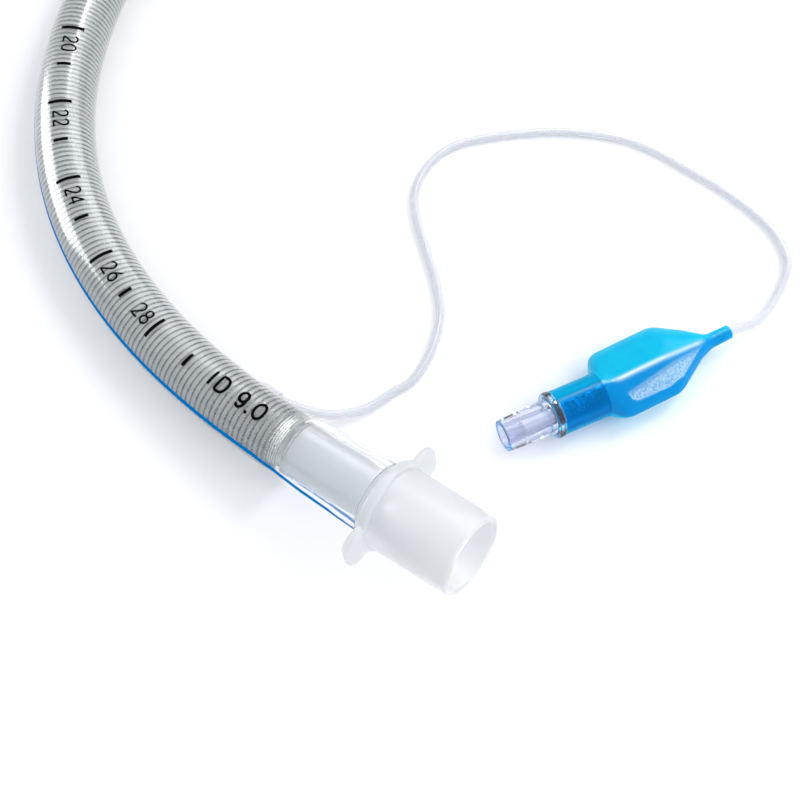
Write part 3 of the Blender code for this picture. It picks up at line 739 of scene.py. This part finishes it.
def cuff_film():
    """Make the thin clear film of the cuff."""
    finish = Finish("cuff_film")
    fine = finish.noise(700.0)
    inputs = {
        "Base Color": (0.88, 0.90, 0.93, 1),
        "Roughness": finish.uneven(fine, 0.12, 0.3),
        "Normal": finish.bump(fine, 0.3, 0.05 * MM),
    }
    body = finish.shader("BsdfPrincipled", inputs)
    return finish.finished(finish.see_through(body, (0.93, 0.95, 0.97, 1), 0.35, 0.82, 0.25))


def white_plastic():
    """Make the valve's plain white mouldings."""
    depth = {"Subsurface Weight": 0.4, "Subsurface Radius": (1.0, 1.0, 1.0)}
    depth["Subsurface Scale"] = 0.8 * MM
    low, high = (0.665, 0.684, 0.6935), (0.70, 0.72, 0.73)
    return plain("white_plastic", 1800.0, low, high, (0.35, 0.5), depth)


# Tube


def box_mesh(name, size, matrix):
    """Make a box centred on a matrix's origin."""
    shape = bmesh.new()
    bmesh.ops.create_cube(shape, size=1.0)
    bmesh.ops.scale(shape, vec=size, verts=shape.verts[:])
    bmesh.ops.transform(shape, matrix=matrix, verts=shape.verts[:])
    return facing_out(shape, bpy.data.meshes.new(name))


def tube_wall(finish):
    """Make the wall with its flared socket, bevelled tip and side eye."""
    end = TUBE_LENGTH
    outer = [(0, SOCKET_RADIUS), (0, FLARE_RADIUS, 0.03 * MM)]
    outer += [(FLARE_LENGTH, FLARE_END), (COIL_FROM + SEAT_GAP, TUBE_RADIUS), (end, TUBE_RADIUS)]
    inner = [(end, BORE / 2), (SOCKET_DEPTH, BORE / 2), (SOCKET_DEPTH, SOCKET_RADIUS)]
    profile = rounded(outer, ENDING) + inner
    wall = add_piece("tube", turned("tube", TUBE, profile, TUBE_SIDES, True), finish)

    centre, side, up = TUBE.frame(end)
    along = up.cross(side)
    heel = centre - TUBE_RADIUS * up
    face = (-math.cos(BEVEL_ANGLE) * along + math.sin(BEVEL_ANGLE) * up).normalized()
    normal = (math.sin(BEVEL_ANGLE) * along + math.cos(BEVEL_ANGLE) * up).normalized()
    reach = 6 * TUBE_RADIUS
    turn = Matrix((side, face, normal)).transposed().to_4x4()
    slab = Matrix.Translation(heel + normal * reach / 2) @ turn
    cut(wall, box_mesh("bevel_cutter", (reach, 2 * reach, reach), slab))

    centre, side, up = TUBE.frame(end - EYE_FROM_TIP)
    along = up.cross(side)
    rings = []
    for depth in (0.25 * BORE, 1.25 * BORE):
        ring = []
        for angle in circle(EYE_SIDES):
            across = 0.5 * EYE_WIDTH * math.cos(angle) * side
            ring.append(centre + across + 0.5 * EYE_LENGTH * math.sin(angle) * along - depth * up)
        rings.append(ring)
    cut(wall, skin("eye_cutter", capped(rings)))
    for vertex, lay in zip(wall.data.vertices, wall.data.attributes["lay"].data):
        if lay.vector[1] == lay.vector[2] == 0.0:
            offset = vertex.co - centre
            angle = math.atan2(offset.dot(side), offset.dot(up))
            distance = end - EYE_FROM_TIP + offset.dot(along)
            lay.vector = (distance / MM, math.cos(angle), math.sin(angle))
    shade(wall.data)
    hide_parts("tube_wall")


def lining(finish):
    """Make the lining that the wire is wound on, buried in the clear wall."""
    inner, outer = LINING
    profile = [(COIL_FROM, inner), (COIL_FROM, outer), (COIL_TO, outer), (COIL_TO, inner)]
    mesh_data = turned("lining", TUBE, profile, TUBE_SIDES, True)
    add_piece("lining", mesh_data, finish, "inner_lining")


def wire(finish):
    """Wind the wire in the wall, its last turns closed up by the socket."""
    rings, lays = [], []
    distance, angle = COIL_FROM + WIRE_THICKNESS, 0.0
    while distance < COIL_TO - WIRE_THICKNESS:
        ring = []
        for turn in circle(WIRE_SIDES):
            along = distance + 0.5 * WIRE_THICKNESS * math.cos(turn)
            radius = WIRE_AT + 0.5 * WIRE_THICKNESS * math.sin(turn)
            ring.append(TUBE.place(along, radius, angle))
            lays.append((distance / MM, angle))
        rings.append(ring)
        opened = smooth_step((distance - COIL_FROM - CLOSED_LENGTH) / (2 * WIRE_PITCH))
        pitch = CLOSED_PITCH + (WIRE_PITCH - CLOSED_PITCH) * opened
        distance += pitch / WIRE_STEPS
        angle -= 2 * math.pi / WIRE_STEPS
    mesh_data = skin("wire", capped(rings), [lays[0], *lays, lays[-1]])
    add_piece("wire", mesh_data, finish, "reinforcing_wire")


def arc(x, y, wide, high, start, end, steps=14):
    """List points on an ellipse, between angles in degrees."""
    points = []
    for k in range(steps + 1):
        angle = math.radians(start + (end - start) * k / steps)
        points.append((x + wide * math.cos(angle), y + high * math.sin(angle)))
    return points


# Strokes of each character, in shares of its width and height
STROKES = {
    "0": [arc(0.5, 0.5, 0.5, 0.5, 0, 360, 28)],
    "1": [[(0.2, 0.78), (0.55, 1.0), (0.55, 0.0)]],
    "2": [arc(0.5, 0.72, 0.46, 0.28, 165, -30) + [(0.05, 0.0), (1.0, 0.0)]],
    "4": [[(0.75, 0.0), (0.75, 1.0), (0.0, 0.3), (1.0, 0.3)]],
    "6": [[(0.8, 1.0), (0.15, 0.5)], arc(0.5, 0.3, 0.45, 0.3, 0, 360, 24)],
    "8": [arc(0.5, 0.75, 0.38, 0.25, 0, 360, 22), arc(0.5, 0.26, 0.46, 0.26, 0, 360, 22)],
    "9": [arc(0.5, 0.68, 0.45, 0.32, 0, 360, 24), arc(0.5, 0.42, 0.45, 0.42, 12, -140)],
    "I": [[(0.5, 0.0), (0.5, 1.0)]],
    "D": [
        [(0.05, 0.0), (0.05, 1.0), (0.45, 1.0)] + arc(0.45, 0.5, 0.5, 0.5, 90, -90) + [(0.05, 0.0)]
    ],
    ".": [[(0.0, 0.0), (1.0, 0.0)]],
}


def stroke_faces(points, width):
    """Widen a line of (x, y) points into quads."""
    dense = [Vector(points[0])]
    for first, second in zip(points, points[1:]):
        first, second = Vector(first), Vector(second)
        count = max(1, math.ceil((second - first).length / (0.35 * MM)))
        dense += [first.lerp(second, (k + 1) / count) for k in range(count)]
    edges = []
    for i, point in enumerate(dense):
        ahead = (dense[min(i + 1, len(dense) - 1)] - dense[max(i - 1, 0)]).normalized()
        across = Vector((-ahead.y, ahead.x)) * width / 2
        edges.append((point + across, point - across))
    return [(a[0], b[0], b[1], a[1]) for a, b in zip(edges, edges[1:])]


def printed(name, strokes, finish):
    """Lay (points, width) strokes on the tube, in distance and arc."""
    points, faces = [], []
    radius = TUBE_RADIUS + PRINT_LIFT
    for line, width in strokes:
        for quad in stroke_faces(line, width):
            faces.append(tuple(range(len(points), len(points) + 4)))
            points += [tuple(TUBE.place(c.x, radius, c.y / radius)) for c in quad]
    mesh_data = bpy.data.meshes.new(name)
    mesh_data.from_pydata(points, [], faces)
    add_piece(name, mesh_data, finish)


def character_strokes(character, start, end, middle, high, stroke):
    """Place a character's strokes between two distances."""
    strokes = []
    for line in STROKES[character]:
        placed = []
        for x, y in line:
            placed.append((start + x * (end - start), middle + (y - 0.5) * high))
        strokes.append((placed, stroke))
    return strokes


def depth_marks(finish):
    """Print the centimetre marks, their numbers and the bore size."""
    strokes = []
    radius = TUBE_RADIUS + PRINT_LIFT
    for number in range(FIRST_MARK, LAST_MARK - 1, -1):
        passed = FIRST_MARK - number
        distance = MARK_29_AT + passed * 10 * MM
        half = (SHORT_MARK if number % 2 else LONG_MARK) / 2
        middle = radius * (MARK_ANGLE_AT_29 + MARK_ANGLE_TURN * min(1.0, passed / 10))
        strokes.append(([(distance, middle - half), (distance, middle + half)], MARK_THICKNESS))
        if number % 2 == 0:
            start = distance - (NUMBER_28_STARTS if number == 28 else NUMBER_STARTS)
            middle += radius * NUMBER_TURN
            for digit in str(number):
                end = start - DIGIT_WIDTH
                strokes += character_strokes(digit, start, end, middle, DIGIT_HEIGHT, DIGIT_STROKE)
                start = end - DIGIT_GAP
    for character, start, end in SIZE_MARKS:
        middle = radius * SIZE_TURN
        placed = (start * MM, end * MM, middle, SIZE_HEIGHT)
        strokes += character_strokes(character, *placed, SIZE_STROKE)
    printed("depth_marks", strokes, finish)


def outer_radius(distance):
    """Return the tube's outer radius at a distance."""
    if distance < FLARE_LENGTH:
        return FLARE_RADIUS - FLARE_TAPER * distance / FLARE_LENGTH
    share = (distance - FLARE_LENGTH) / (COIL_FROM + SEAT_GAP - FLARE_LENGTH)
    return FLARE_END - min(share, 1.0) * (FLARE_END - TUBE_RADIUS)


def blue_stripe(finish):
    """Run the thin blue stripe along the wall from the flange to the tip."""
    rings = []
    fine = [k * MM for k in range(1, 40)]
    distances = [0.45 * MM] + fine
    distances += [d for d in TUBE.distances if 40 * MM < d < TUBE_LENGTH - 15 * MM]
    for distance in distances:
        depth = outer_radius(distance)
        half = STRIPE_WIDTH / 2 / depth
        middle = math.radians(blend_rows(STRIPE_ROUTE, distance / MM)[0])
        section = [(PRINT_LIFT, half * share) for share in (-1, -0.5, 0, 0.5, 1)]
        section += [(-PRINT_LIFT, half), (-PRINT_LIFT, -half)]
        rings.append([TUBE.place(distance, depth + lift, middle + turn) for lift, turn in section])
    add_piece("blue_stripe", skin("blue_stripe", capped(rings)), finish)


def cuff(finish):
    """Make the let-down cuff, pleated between its bonded ends."""
    end = TUBE_LENGTH - CUFF_FROM_TIP
    start = end - CUFF_LENGTH
    bonded = TUBE_RADIUS + CUFF_LIFT
    near, far = start + CUFF_COLLAR, end - CUFF_COLLAR
    rings = []
    for k in range(CUFF_STEPS + 1):
        distance = start + (end - start) * k / CUFF_STEPS
        rise = smooth_step((distance - near) / CUFF_SHOULDER)
        rise *= smooth_step((far - distance) / CUFF_SHOULDER)
        ring = []
        for angle in circle(TUBE_SIDES):
            drift = PLEAT_DRIFT * math.sin(2 * math.pi * (distance - start) / (end - start))
            pleat = math.cos(CUFF_PLEATS * angle + drift) ** 8
            lower = 0.5 - 0.5 * math.cos(angle)
            puff = CUFF_RADIUS - bonded - PLEAT_DEPTH * pleat * (1 - lower**4)
            ring.append(TUBE.place(distance, bonded + rise * puff, angle))
        rings.append(ring)
    add_piece("cuff_film", skin("cuff_film", rings), finish, "cuff")


# Connector


def ears(axis, start, end):
    """Make the flange's two ears as one flat plate with round corners and edges."""
    rings = []
    corner, edge = EAR_CORNER, EDGE_ROUNDING
    turns = [math.pi / 2 * k / 4 for k in range(5)]
    layers = [(start + edge * (1 - math.cos(a)), edge * (1 - math.sin(a))) for a in turns]
    layers += [(end - (place - start), inset) for place, inset in reversed(layers)]
    for distance, inset in layers:
        centre, side, up = axis.frame(distance)
        ring = []
        for quarter in range(4):
            across = (EAR_REACH - corner) * (1 if quarter in (0, 3) else -1)
            upwards = (EAR_HEIGHT / 2 - corner) * (1 if quarter in (0, 1) else -1)
            for k in range(9):
                angle = math.pi / 2 * (quarter + k / 8)
                x = across + (corner - inset) * math.cos(angle)
                y = upwards + (corner - inset) * math.sin(angle)
                ring.append(centre + x * side + y * up)
        rings.append(ring)
    return skin("ears", capped(rings))


def connector(finish):
    """Make the one-piece connector: barrel, flange with ears and 15 mm cone."""
    centre, side, up = TUBE.frame(0)
    axis = Axis.straight(centre, side.cross(up))
    front = FLANGE_FROM + FLANGE_THICKNESS
    mouth = CONNECTOR_LENGTH
    cone_base = CONE_END_RADIUS + CONE_TAPER * (mouth - front)
    outside = [
        (-BARREL_LENGTH, BARREL_BORE_RADIUS - 0.5 * MM),
        (-BARREL_LENGTH, BARREL_RADIUS),
        (HUB_FROM, BARREL_RADIUS, 0.05 * MM),
        (HUB_FROM, FLARE_RADIUS, 0.08 * MM),
        (FLANGE_FROM, FLARE_RADIUS, 0.2 * MM),
        (FLANGE_FROM, FLANGE_RADIUS),
        (front, FLANGE_RADIUS),
        (front, cone_base, 0.2 * MM),
        (mouth, CONE_END_RADIUS, RIM_ROUNDING),
        (mouth, MOUTH_RADIUS - 0.5 * MM),
    ]
    profile = [(-BARREL_LENGTH, 0)] + rounded(outside, EDGE_ROUNDING) + [(mouth, 0)]
    mesh_data = turned("connector_moulding", axis, profile, CONNECTOR_SIDES)
    body = add_piece("connector_moulding", mesh_data, finish)
    cut(body, ears(axis, FLANGE_FROM + EAR_STEP, front - EAR_STEP), "UNION")
    bore = [
        (-BARREL_LENGTH - 1 * MM, 0),
        (-BARREL_LENGTH - 1 * MM, BARREL_BORE_RADIUS),
        (front, BARREL_BORE_RADIUS),
        (front + FUNNEL_LENGTH, FUNNEL_RADIUS),
        (mouth - MOUTH_ROUNDING, MOUTH_RADIUS),
        (mouth - 0.4 * MOUTH_ROUNDING, MOUTH_RADIUS + 0.15 * MOUTH_ROUNDING),
        (mouth, MOUTH_RADIUS + 0.6 * MOUTH_ROUNDING),
        (mouth + MOUTH_ROUNDING, MOUTH_RADIUS + 2 * MOUTH_ROUNDING),
        (mouth + MOUTH_ROUNDING, 0),
    ]
    cut(body, turned("bore_cutter", axis, bore, CONNECTOR_SIDES))
    shade(body.data, 32)
    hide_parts("connector")


# Line


def smooth_route(points, step):
    """Run a smooth curve through points, at an even step."""
    ends = [2 * points[0] - points[1]] + points + [2 * points[-1] - points[-2]]
    fine = []
    for before, first, second, after in zip(ends, ends[1:], ends[2:], ends[3:]):
        for k in range(20):
            t = k / 20
            blend = 2 * first + t * (second - before)
            blend += t**2 * (2 * before - 5 * first + 4 * second - after)
            blend += t**3 * (3 * first - before - 3 * second + after)
            fine.append(blend / 2)
    fine.append(points[-1])
    lengths = [0.0]
    for first, second in zip(fine, fine[1:]):
        lengths.append(lengths[-1] + (second - first).length)
    count = round(lengths[-1] / step)
    even = []
    index = 0
    for k in range(count + 1):
        target = lengths[-1] * k / count
        while index < len(fine) - 2 and lengths[index + 1] < target:
            index += 1
        share = (target - lengths[index]) / (lengths[index + 1] - lengths[index])
        even.append(fine[index].lerp(fine[index + 1], share))
    return even, lengths[-1]


def inflation_line(finish):
    """Lay the hollow line from the tube's wall to the balloon's tail."""
    route, length = smooth_route([Vector(point) * MM for point in LINE_ROUTE], LINE_STEP)
    stations = []
    distance = 0.0
    for i, point in enumerate(route):
        along = (route[min(i + 1, len(route) - 1)] - route[max(i - 1, 0)]).normalized()
        side = along.cross(UP).normalized()
        stations.append((distance, point, side, side.cross(along)))
        if i + 1 < len(route):
            distance += (route[i + 1] - point).length
    axis = Axis(stations)
    outer, inner = LINE_DIAMETER / 2, LINE_BORE / 2
    profile = [(0, inner), (0, outer), (distance, outer), (distance, inner)]
    mesh_data = turned("line", axis, profile, LINE_SIDES, True)
    piece = add_piece("line", mesh_data, finish, "inflation_line")


# Balloon and valve


def valve_axis():
    """Return the axis of the valve, which lies on its collar."""
    mouth = Vector((VALVE_MOUTH[0], VALVE_MOUTH[1], COLLAR_RADIUS))
    return Axis.straight(mouth, Vector((math.cos(VALVE_HEADING), math.sin(VALVE_HEADING), 0)))


def balloon_axis():
    """Return the balloon's axis: the valve's, then turned a little."""
    valve = valve_axis()
    shoulder_at = BALLOON_FROM + BALLOON_SLEEVE_LENGTH
    shoulder = valve.frame(shoulder_at)
    heading = Vector((math.cos(BALLOON_HEADING), math.sin(BALLOON_HEADING), 0))
    reach = BALLOON_LENGTH + TAIL_LENGTH
    end = (shoulder_at + reach, shoulder[0] + reach * heading, heading.cross(UP), UP)
    return Axis([(0.0, *valve.frame(0.0)), (shoulder_at, *shoulder), end])


def blend_rows(rows, distance, ease=smooth_step):
    """Read a table of (distance, values...) at a distance."""
    distances = [row[0] for row in rows]
    index = min(max(bisect_right(distances, distance) - 1, 0), len(rows) - 2)
    first, second = rows[index], rows[index + 1]
    share = ease((distance - first[0]) / (second[0] - first[0]))
    return [a + (b - a) * share for a, b in zip(first[1:], second[1:])]


def balloon_rows():
    """List (distance, near, far, top, bottom, ridge, squareness) rows."""
    body = BALLOON_FROM + BALLOON_SLEEVE_LENGTH
    end = body + BALLOON_LENGTH
    collar = (BALLOON_SLEEVE_RADIUS,) * 4
    near, far, ridge = 0.79 * BALLOON_NEAR, 0.76 * BALLOON_FAR, 0.3 * BALLOON_RIDGE
    rows = [(BALLOON_FROM, *collar, 0.0, 2.0), (body, *collar, 0.0, 2.0)]
    rows.append((body + 0.03 * BALLOON_LENGTH, near, far, *collar[:2], ridge, 1.8))
    for at, near, far, high, ridge, square in BALLOON_FORM:
        sides = (near * BALLOON_NEAR, far * BALLOON_FAR, high * BALLOON_TOP, high * BALLOON_BOTTOM)
        rows.append((body + at * BALLOON_LENGTH, *sides, ridge * BALLOON_RIDGE, square))
    rows.append((end, *(1.08 * TAIL_RADIUS,) * 4, 0.0, 2.0))
    return rows + [(end + TAIL_LENGTH, *(TAIL_RADIUS,) * 4, 0.0, 2.0)]


def eased_rows(rows, distance):
    """Read a table averaged over a short stretch, which softens its corners."""
    total = [0.0] * (len(rows[0]) - 1)
    for k in range(-4, 5):
        row = blend_rows(rows, distance + EASE_REACH * k / 4, clamped)
        total = [value + part / 9 for value, part in zip(total, row)]
    return total


def pilot_balloon(finish, sleeve_finish):
    """Make the balloon: sleeve, body with a sunken flank, thin tail."""
    axis = balloon_axis()
    rows = balloon_rows()
    body = BALLOON_FROM + BALLOON_SLEEVE_LENGTH
    rings, forms = [], []
    whole = rows[-1][0] - rows[0][0]
    for k in range(BALLOON_STEPS + 1):
        distance = rows[0][0] + whole * k / BALLOON_STEPS
        near, far, above, below, ridge, square = eased_rows(rows, distance)
        centre, side, up = axis.frame(distance)
        ring = []
        for angle in circle(BALLOON_SIDES):
            across, upwards = math.cos(angle), math.sin(angle)
            x = math.copysign(abs(across) ** (2 / square), across)
            y = math.copysign(abs(upwards) ** (2 / square), upwards)
            x = x * (near if x > 0 else far) + ridge * max(0.0, y)
            y *= above if y > 0 else below
            form = (0.0,) * 4
            if upwards > 0:
                form = film_form((distance - body) / MM, x / MM, ridge / MM)
            ring.append(centre + x * side + (y - SUNKEN_DEPTH * form[0]) * up)
            forms.append(form)
        rings.append(ring)
    mesh_data = skin("balloon", rings)
    # Attributes: sunk and frosted film, the painted highlight along the ridge, and the near flank,
    # which the film paints a deeper blue as shade.
    for key, values in zip(("sunk", "frosted", "ridge_highlight", "near"), zip(*forms)):
        mesh_data.attributes.new(key, "FLOAT", "POINT").data.foreach_set("value", values)
    piece = add_piece("balloon", mesh_data, finish, "pilot_balloon")
    mesh_data.materials.append(sleeve_finish)
    sleeve_rings = round(BALLOON_STEPS * BALLOON_SLEEVE_LENGTH / whole)
    for face in mesh_data.polygons:
        face.material_index = 1 if face.index < sleeve_rings * BALLOON_SIDES else 0
    return piece


def film_form(distance, offset, ridge):
    """Return how sunk and frosted the film is, its painted ridge highlight, and how far onto the
    near flank it lies (painted in deeper shade), each from 0 to 1.
    """
    inwards = []
    for (x1, y1), (x2, y2) in zip(SUNKEN_FLANK, SUNKEN_FLANK[1:] + SUNKEN_FLANK[:1]):
        length = math.hypot(x2 - x1, y2 - y1)
        inwards.append(((y2 - y1) * (distance - x1) - (x2 - x1) * (offset - y1)) / length)
    sunk = smooth_step(min(inwards) / 0.7)
    frosted = smooth_step(min(inwards[:-1] + [inwards[-1] / 3]) / 0.35)
    whole = BALLOON_LENGTH / MM
    # Painted highlight: a pale streak along the ridge, where the glossy ridge would catch the
    # lamp.
    ridge_highlight = smooth_step((distance - 0.06 * whole) / 2)
    ridge_highlight *= smooth_step((0.97 * whole - distance) / 3)
    ridge_highlight *= math.exp(-(((offset - ridge) / RIDGE_HIGHLIGHT_WIDTH) ** 2))
    # How far onto the near flank, where the blue is painted deeper as shade.
    near = smooth_step((offset - ridge) / 1.4 + 0.5)
    return sunk, frosted, ridge_highlight, near


def valve_body(finish):
    """Make the valve's port, collar and ribbed barrel."""
    outside = [
        (0, PORT_BORE_RADIUS),
        (0, PORT_RADIUS),
        (PORT_LENGTH, PORT_BASE_RADIUS),
        (PORT_LENGTH, COLLAR_RADIUS),
        (BODY_FROM, COLLAR_RADIUS),
        (BODY_FROM, BODY_RADIUS),
    ]
    for k in range(RIB_COUNT):
        foot = BODY_FROM + RIB_PITCH * (k + 1)
        outside += [(foot, BODY_RADIUS + RIB_HEIGHT), (foot + RIB_PITCH / 3, BODY_RADIUS)]
    outside += [(BODY_TO, BODY_RADIUS), (BODY_TO, CHAMBER_RADIUS)]
    profile = rounded(outside, 0.25 * MM) + [
        (SEAT_AT, CHAMBER_RADIUS),
        (SEAT_AT, PORT_BORE_RADIUS - PORT_TAPER * SEAT_AT),
    ]
    mesh_data = turned("valve_housing", valve_axis(), profile, VALVE_SIDES, True)
    return add_piece("valve_housing", mesh_data, finish, "valve_body")


def valve_spring(finish):
    """Take the solid part's spring."""
    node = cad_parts["valve_spring"]
    mesh_data = node.data.copy()
    mesh_data.transform(node.matrix_world)
    mesh_data.materials.clear()
    piece = add_piece("spring", mesh_data, finish, "valve_spring")
    mouth, side, up = valve_axis().frame(0.0)
    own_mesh(piece)
    return piece


# Setting


def stand():
    """Lay the white floor that the tube lies on."""
    bpy.ops.mesh.primitive_plane_add(size=8.0, location=(0, 0, 0))
    floor = bpy.context.object
    floor.name = "floor"
    low, high = (0.955, 0.955, 0.96), (0.97, 0.97, 0.975)
    paper = plain("white_floor", 300.0, low, high, (0.9, 0.9), {"Specular IOR Level": 0.0})
    floor.data.materials.append(paper)


def lamp(name, azimuth, elevation, distance, size, power, diffuse=True, glossy=True):
    """Hang a soft light in a direction given in degrees."""
    azimuth, elevation = math.radians(azimuth), math.radians(elevation)
    level = math.cos(elevation)
    towards = Vector((level * math.cos(azimuth), level * math.sin(azimuth), math.sin(elevation)))
    data = bpy.data.lights.new(name, "AREA")
    data.shape = "RECTANGLE"
    data.size, data.size_y = size
    data.energy = power
    light = linked(name, data)
    light.location = towards * distance
    light.rotation_euler = towards.to_track_quat("Z", "Y").to_euler()
    light.visible_camera = False
    light.visible_diffuse = diffuse
    light.visible_glossy = glossy


def surroundings():
    """Add a pale sky, two soft lamps and three windows that only reflect."""
    world = bpy.data.worlds.new("studio")
    bpy.context.scene.world = world
    world.use_nodes = True
    tree = world.node_tree
    tree.nodes.clear()
    kinds = ("TexCoord", "SeparateXYZ", "ValToRGB", "Background", "OutputWorld")
    place, parts, ramp, sky, out = [tree.nodes.new("ShaderNode" + kind) for kind in kinds]
    stops = ((0.0, (0.48, 0.51, 0.56, 1)), (0.35, (0.81, 0.825, 0.855, 1)))
    for stop, (position, colour) in zip(ramp.color_ramp.elements, stops):
        stop.position, stop.color = position, colour
    tree.links.new(place.outputs["Generated"], parts.inputs[0])
    tree.links.new(parts.outputs["Z"], ramp.inputs[0])
    tree.links.new(ramp.outputs[0], sky.inputs["Color"])
    tree.links.new(sky.outputs[0], out.inputs[0])
    lamp("key", 67, 53, 1.0, (0.4, 0.4), 3.0)
    lamp("fill", 15, 45, 1.0, (0.5, 0.5), 2.4, glossy=False)
    lamp("back_window", 103, 31, 0.9, (0.35, 0.45), 1.0, diffuse=False)
    lamp("top_window", 107, 59, 0.9, (0.22, 0.24), 5.0, diffuse=False)
    lamp("left_window", -163, 15, 0.9, (0.5, 0.56), 5.2, diffuse=False)


def camera():
    """Put the camera where the photograph was taken from."""
    data = bpy.data.cameras.new("camera")
    data.lens = LENS_MM
    data.clip_start = 0.01
    viewer = linked("camera", data)
    viewer.location = CAMERA_PLACE
    look = Vector(CAMERA_LOOKS_AT) - Vector(CAMERA_PLACE)
    viewer.rotation_euler = look.to_track_quat("-Z", "Y").to_euler()
    bpy.context.scene.camera = viewer


def rendering():
    """Set the light paths for clear plastic on white."""
    scene = bpy.context.scene
    scene.view_settings.view_transform = "Standard"
    cycles = scene.cycles
    cycles.max_bounces = cycles.transmission_bounces = 24
    cycles.transparent_max_bounces = 32
    cycles.glossy_bounces, cycles.diffuse_bounces = 8, 4
    cycles.use_denoising = True


camera()
rendering()
surroundings()
stand()

clear_pvc = clear_wall("clear_pvc", (0.95, 0.965, 0.965), (0.985, 0.987, 0.992), ribbed=0.15)
port_plastic = clear_wall("port_plastic", (0.75, 0.775, 0.90), (0.87, 0.88, 0.94))
drawn_steel = steel()
white = white_plastic()
rubber = plain("seal_rubber", 1800.0, (0.02, 0.02, 0.025), (0.05, 0.05, 0.055), (0.5, 0.75))
line_pvc = line_plastic()
pieces = [pilot_balloon(blue_film("blue_film", 0.35), blue_film("sleeve_film", 0.75))]
pieces.append(valve_body(port_plastic))
pieces.append(valve_spring(drawn_steel))
for node, finish in (
    ("valve_cap", white),
    ("valve_plunger", white),
    ("plunger_seal", rubber),
    ("line_sleeve", line_pvc),
):
    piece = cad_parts[node]
    piece.data.materials.clear()
    piece.data.materials.append(finish)
    if node != "line_sleeve":
        pieces.append(piece)
inflation_line(line_pvc)
tube_wall(clear_pvc)
lining(lining_plastic())
wire(drawn_steel)
depth_marks(ink("black_ink", (0.004, 0.004, 0.005)))
blue_stripe(ink("blue_ink", (0.0, 0.24, 0.70)))
cuff(cuff_film())
connector(milky_plastic())
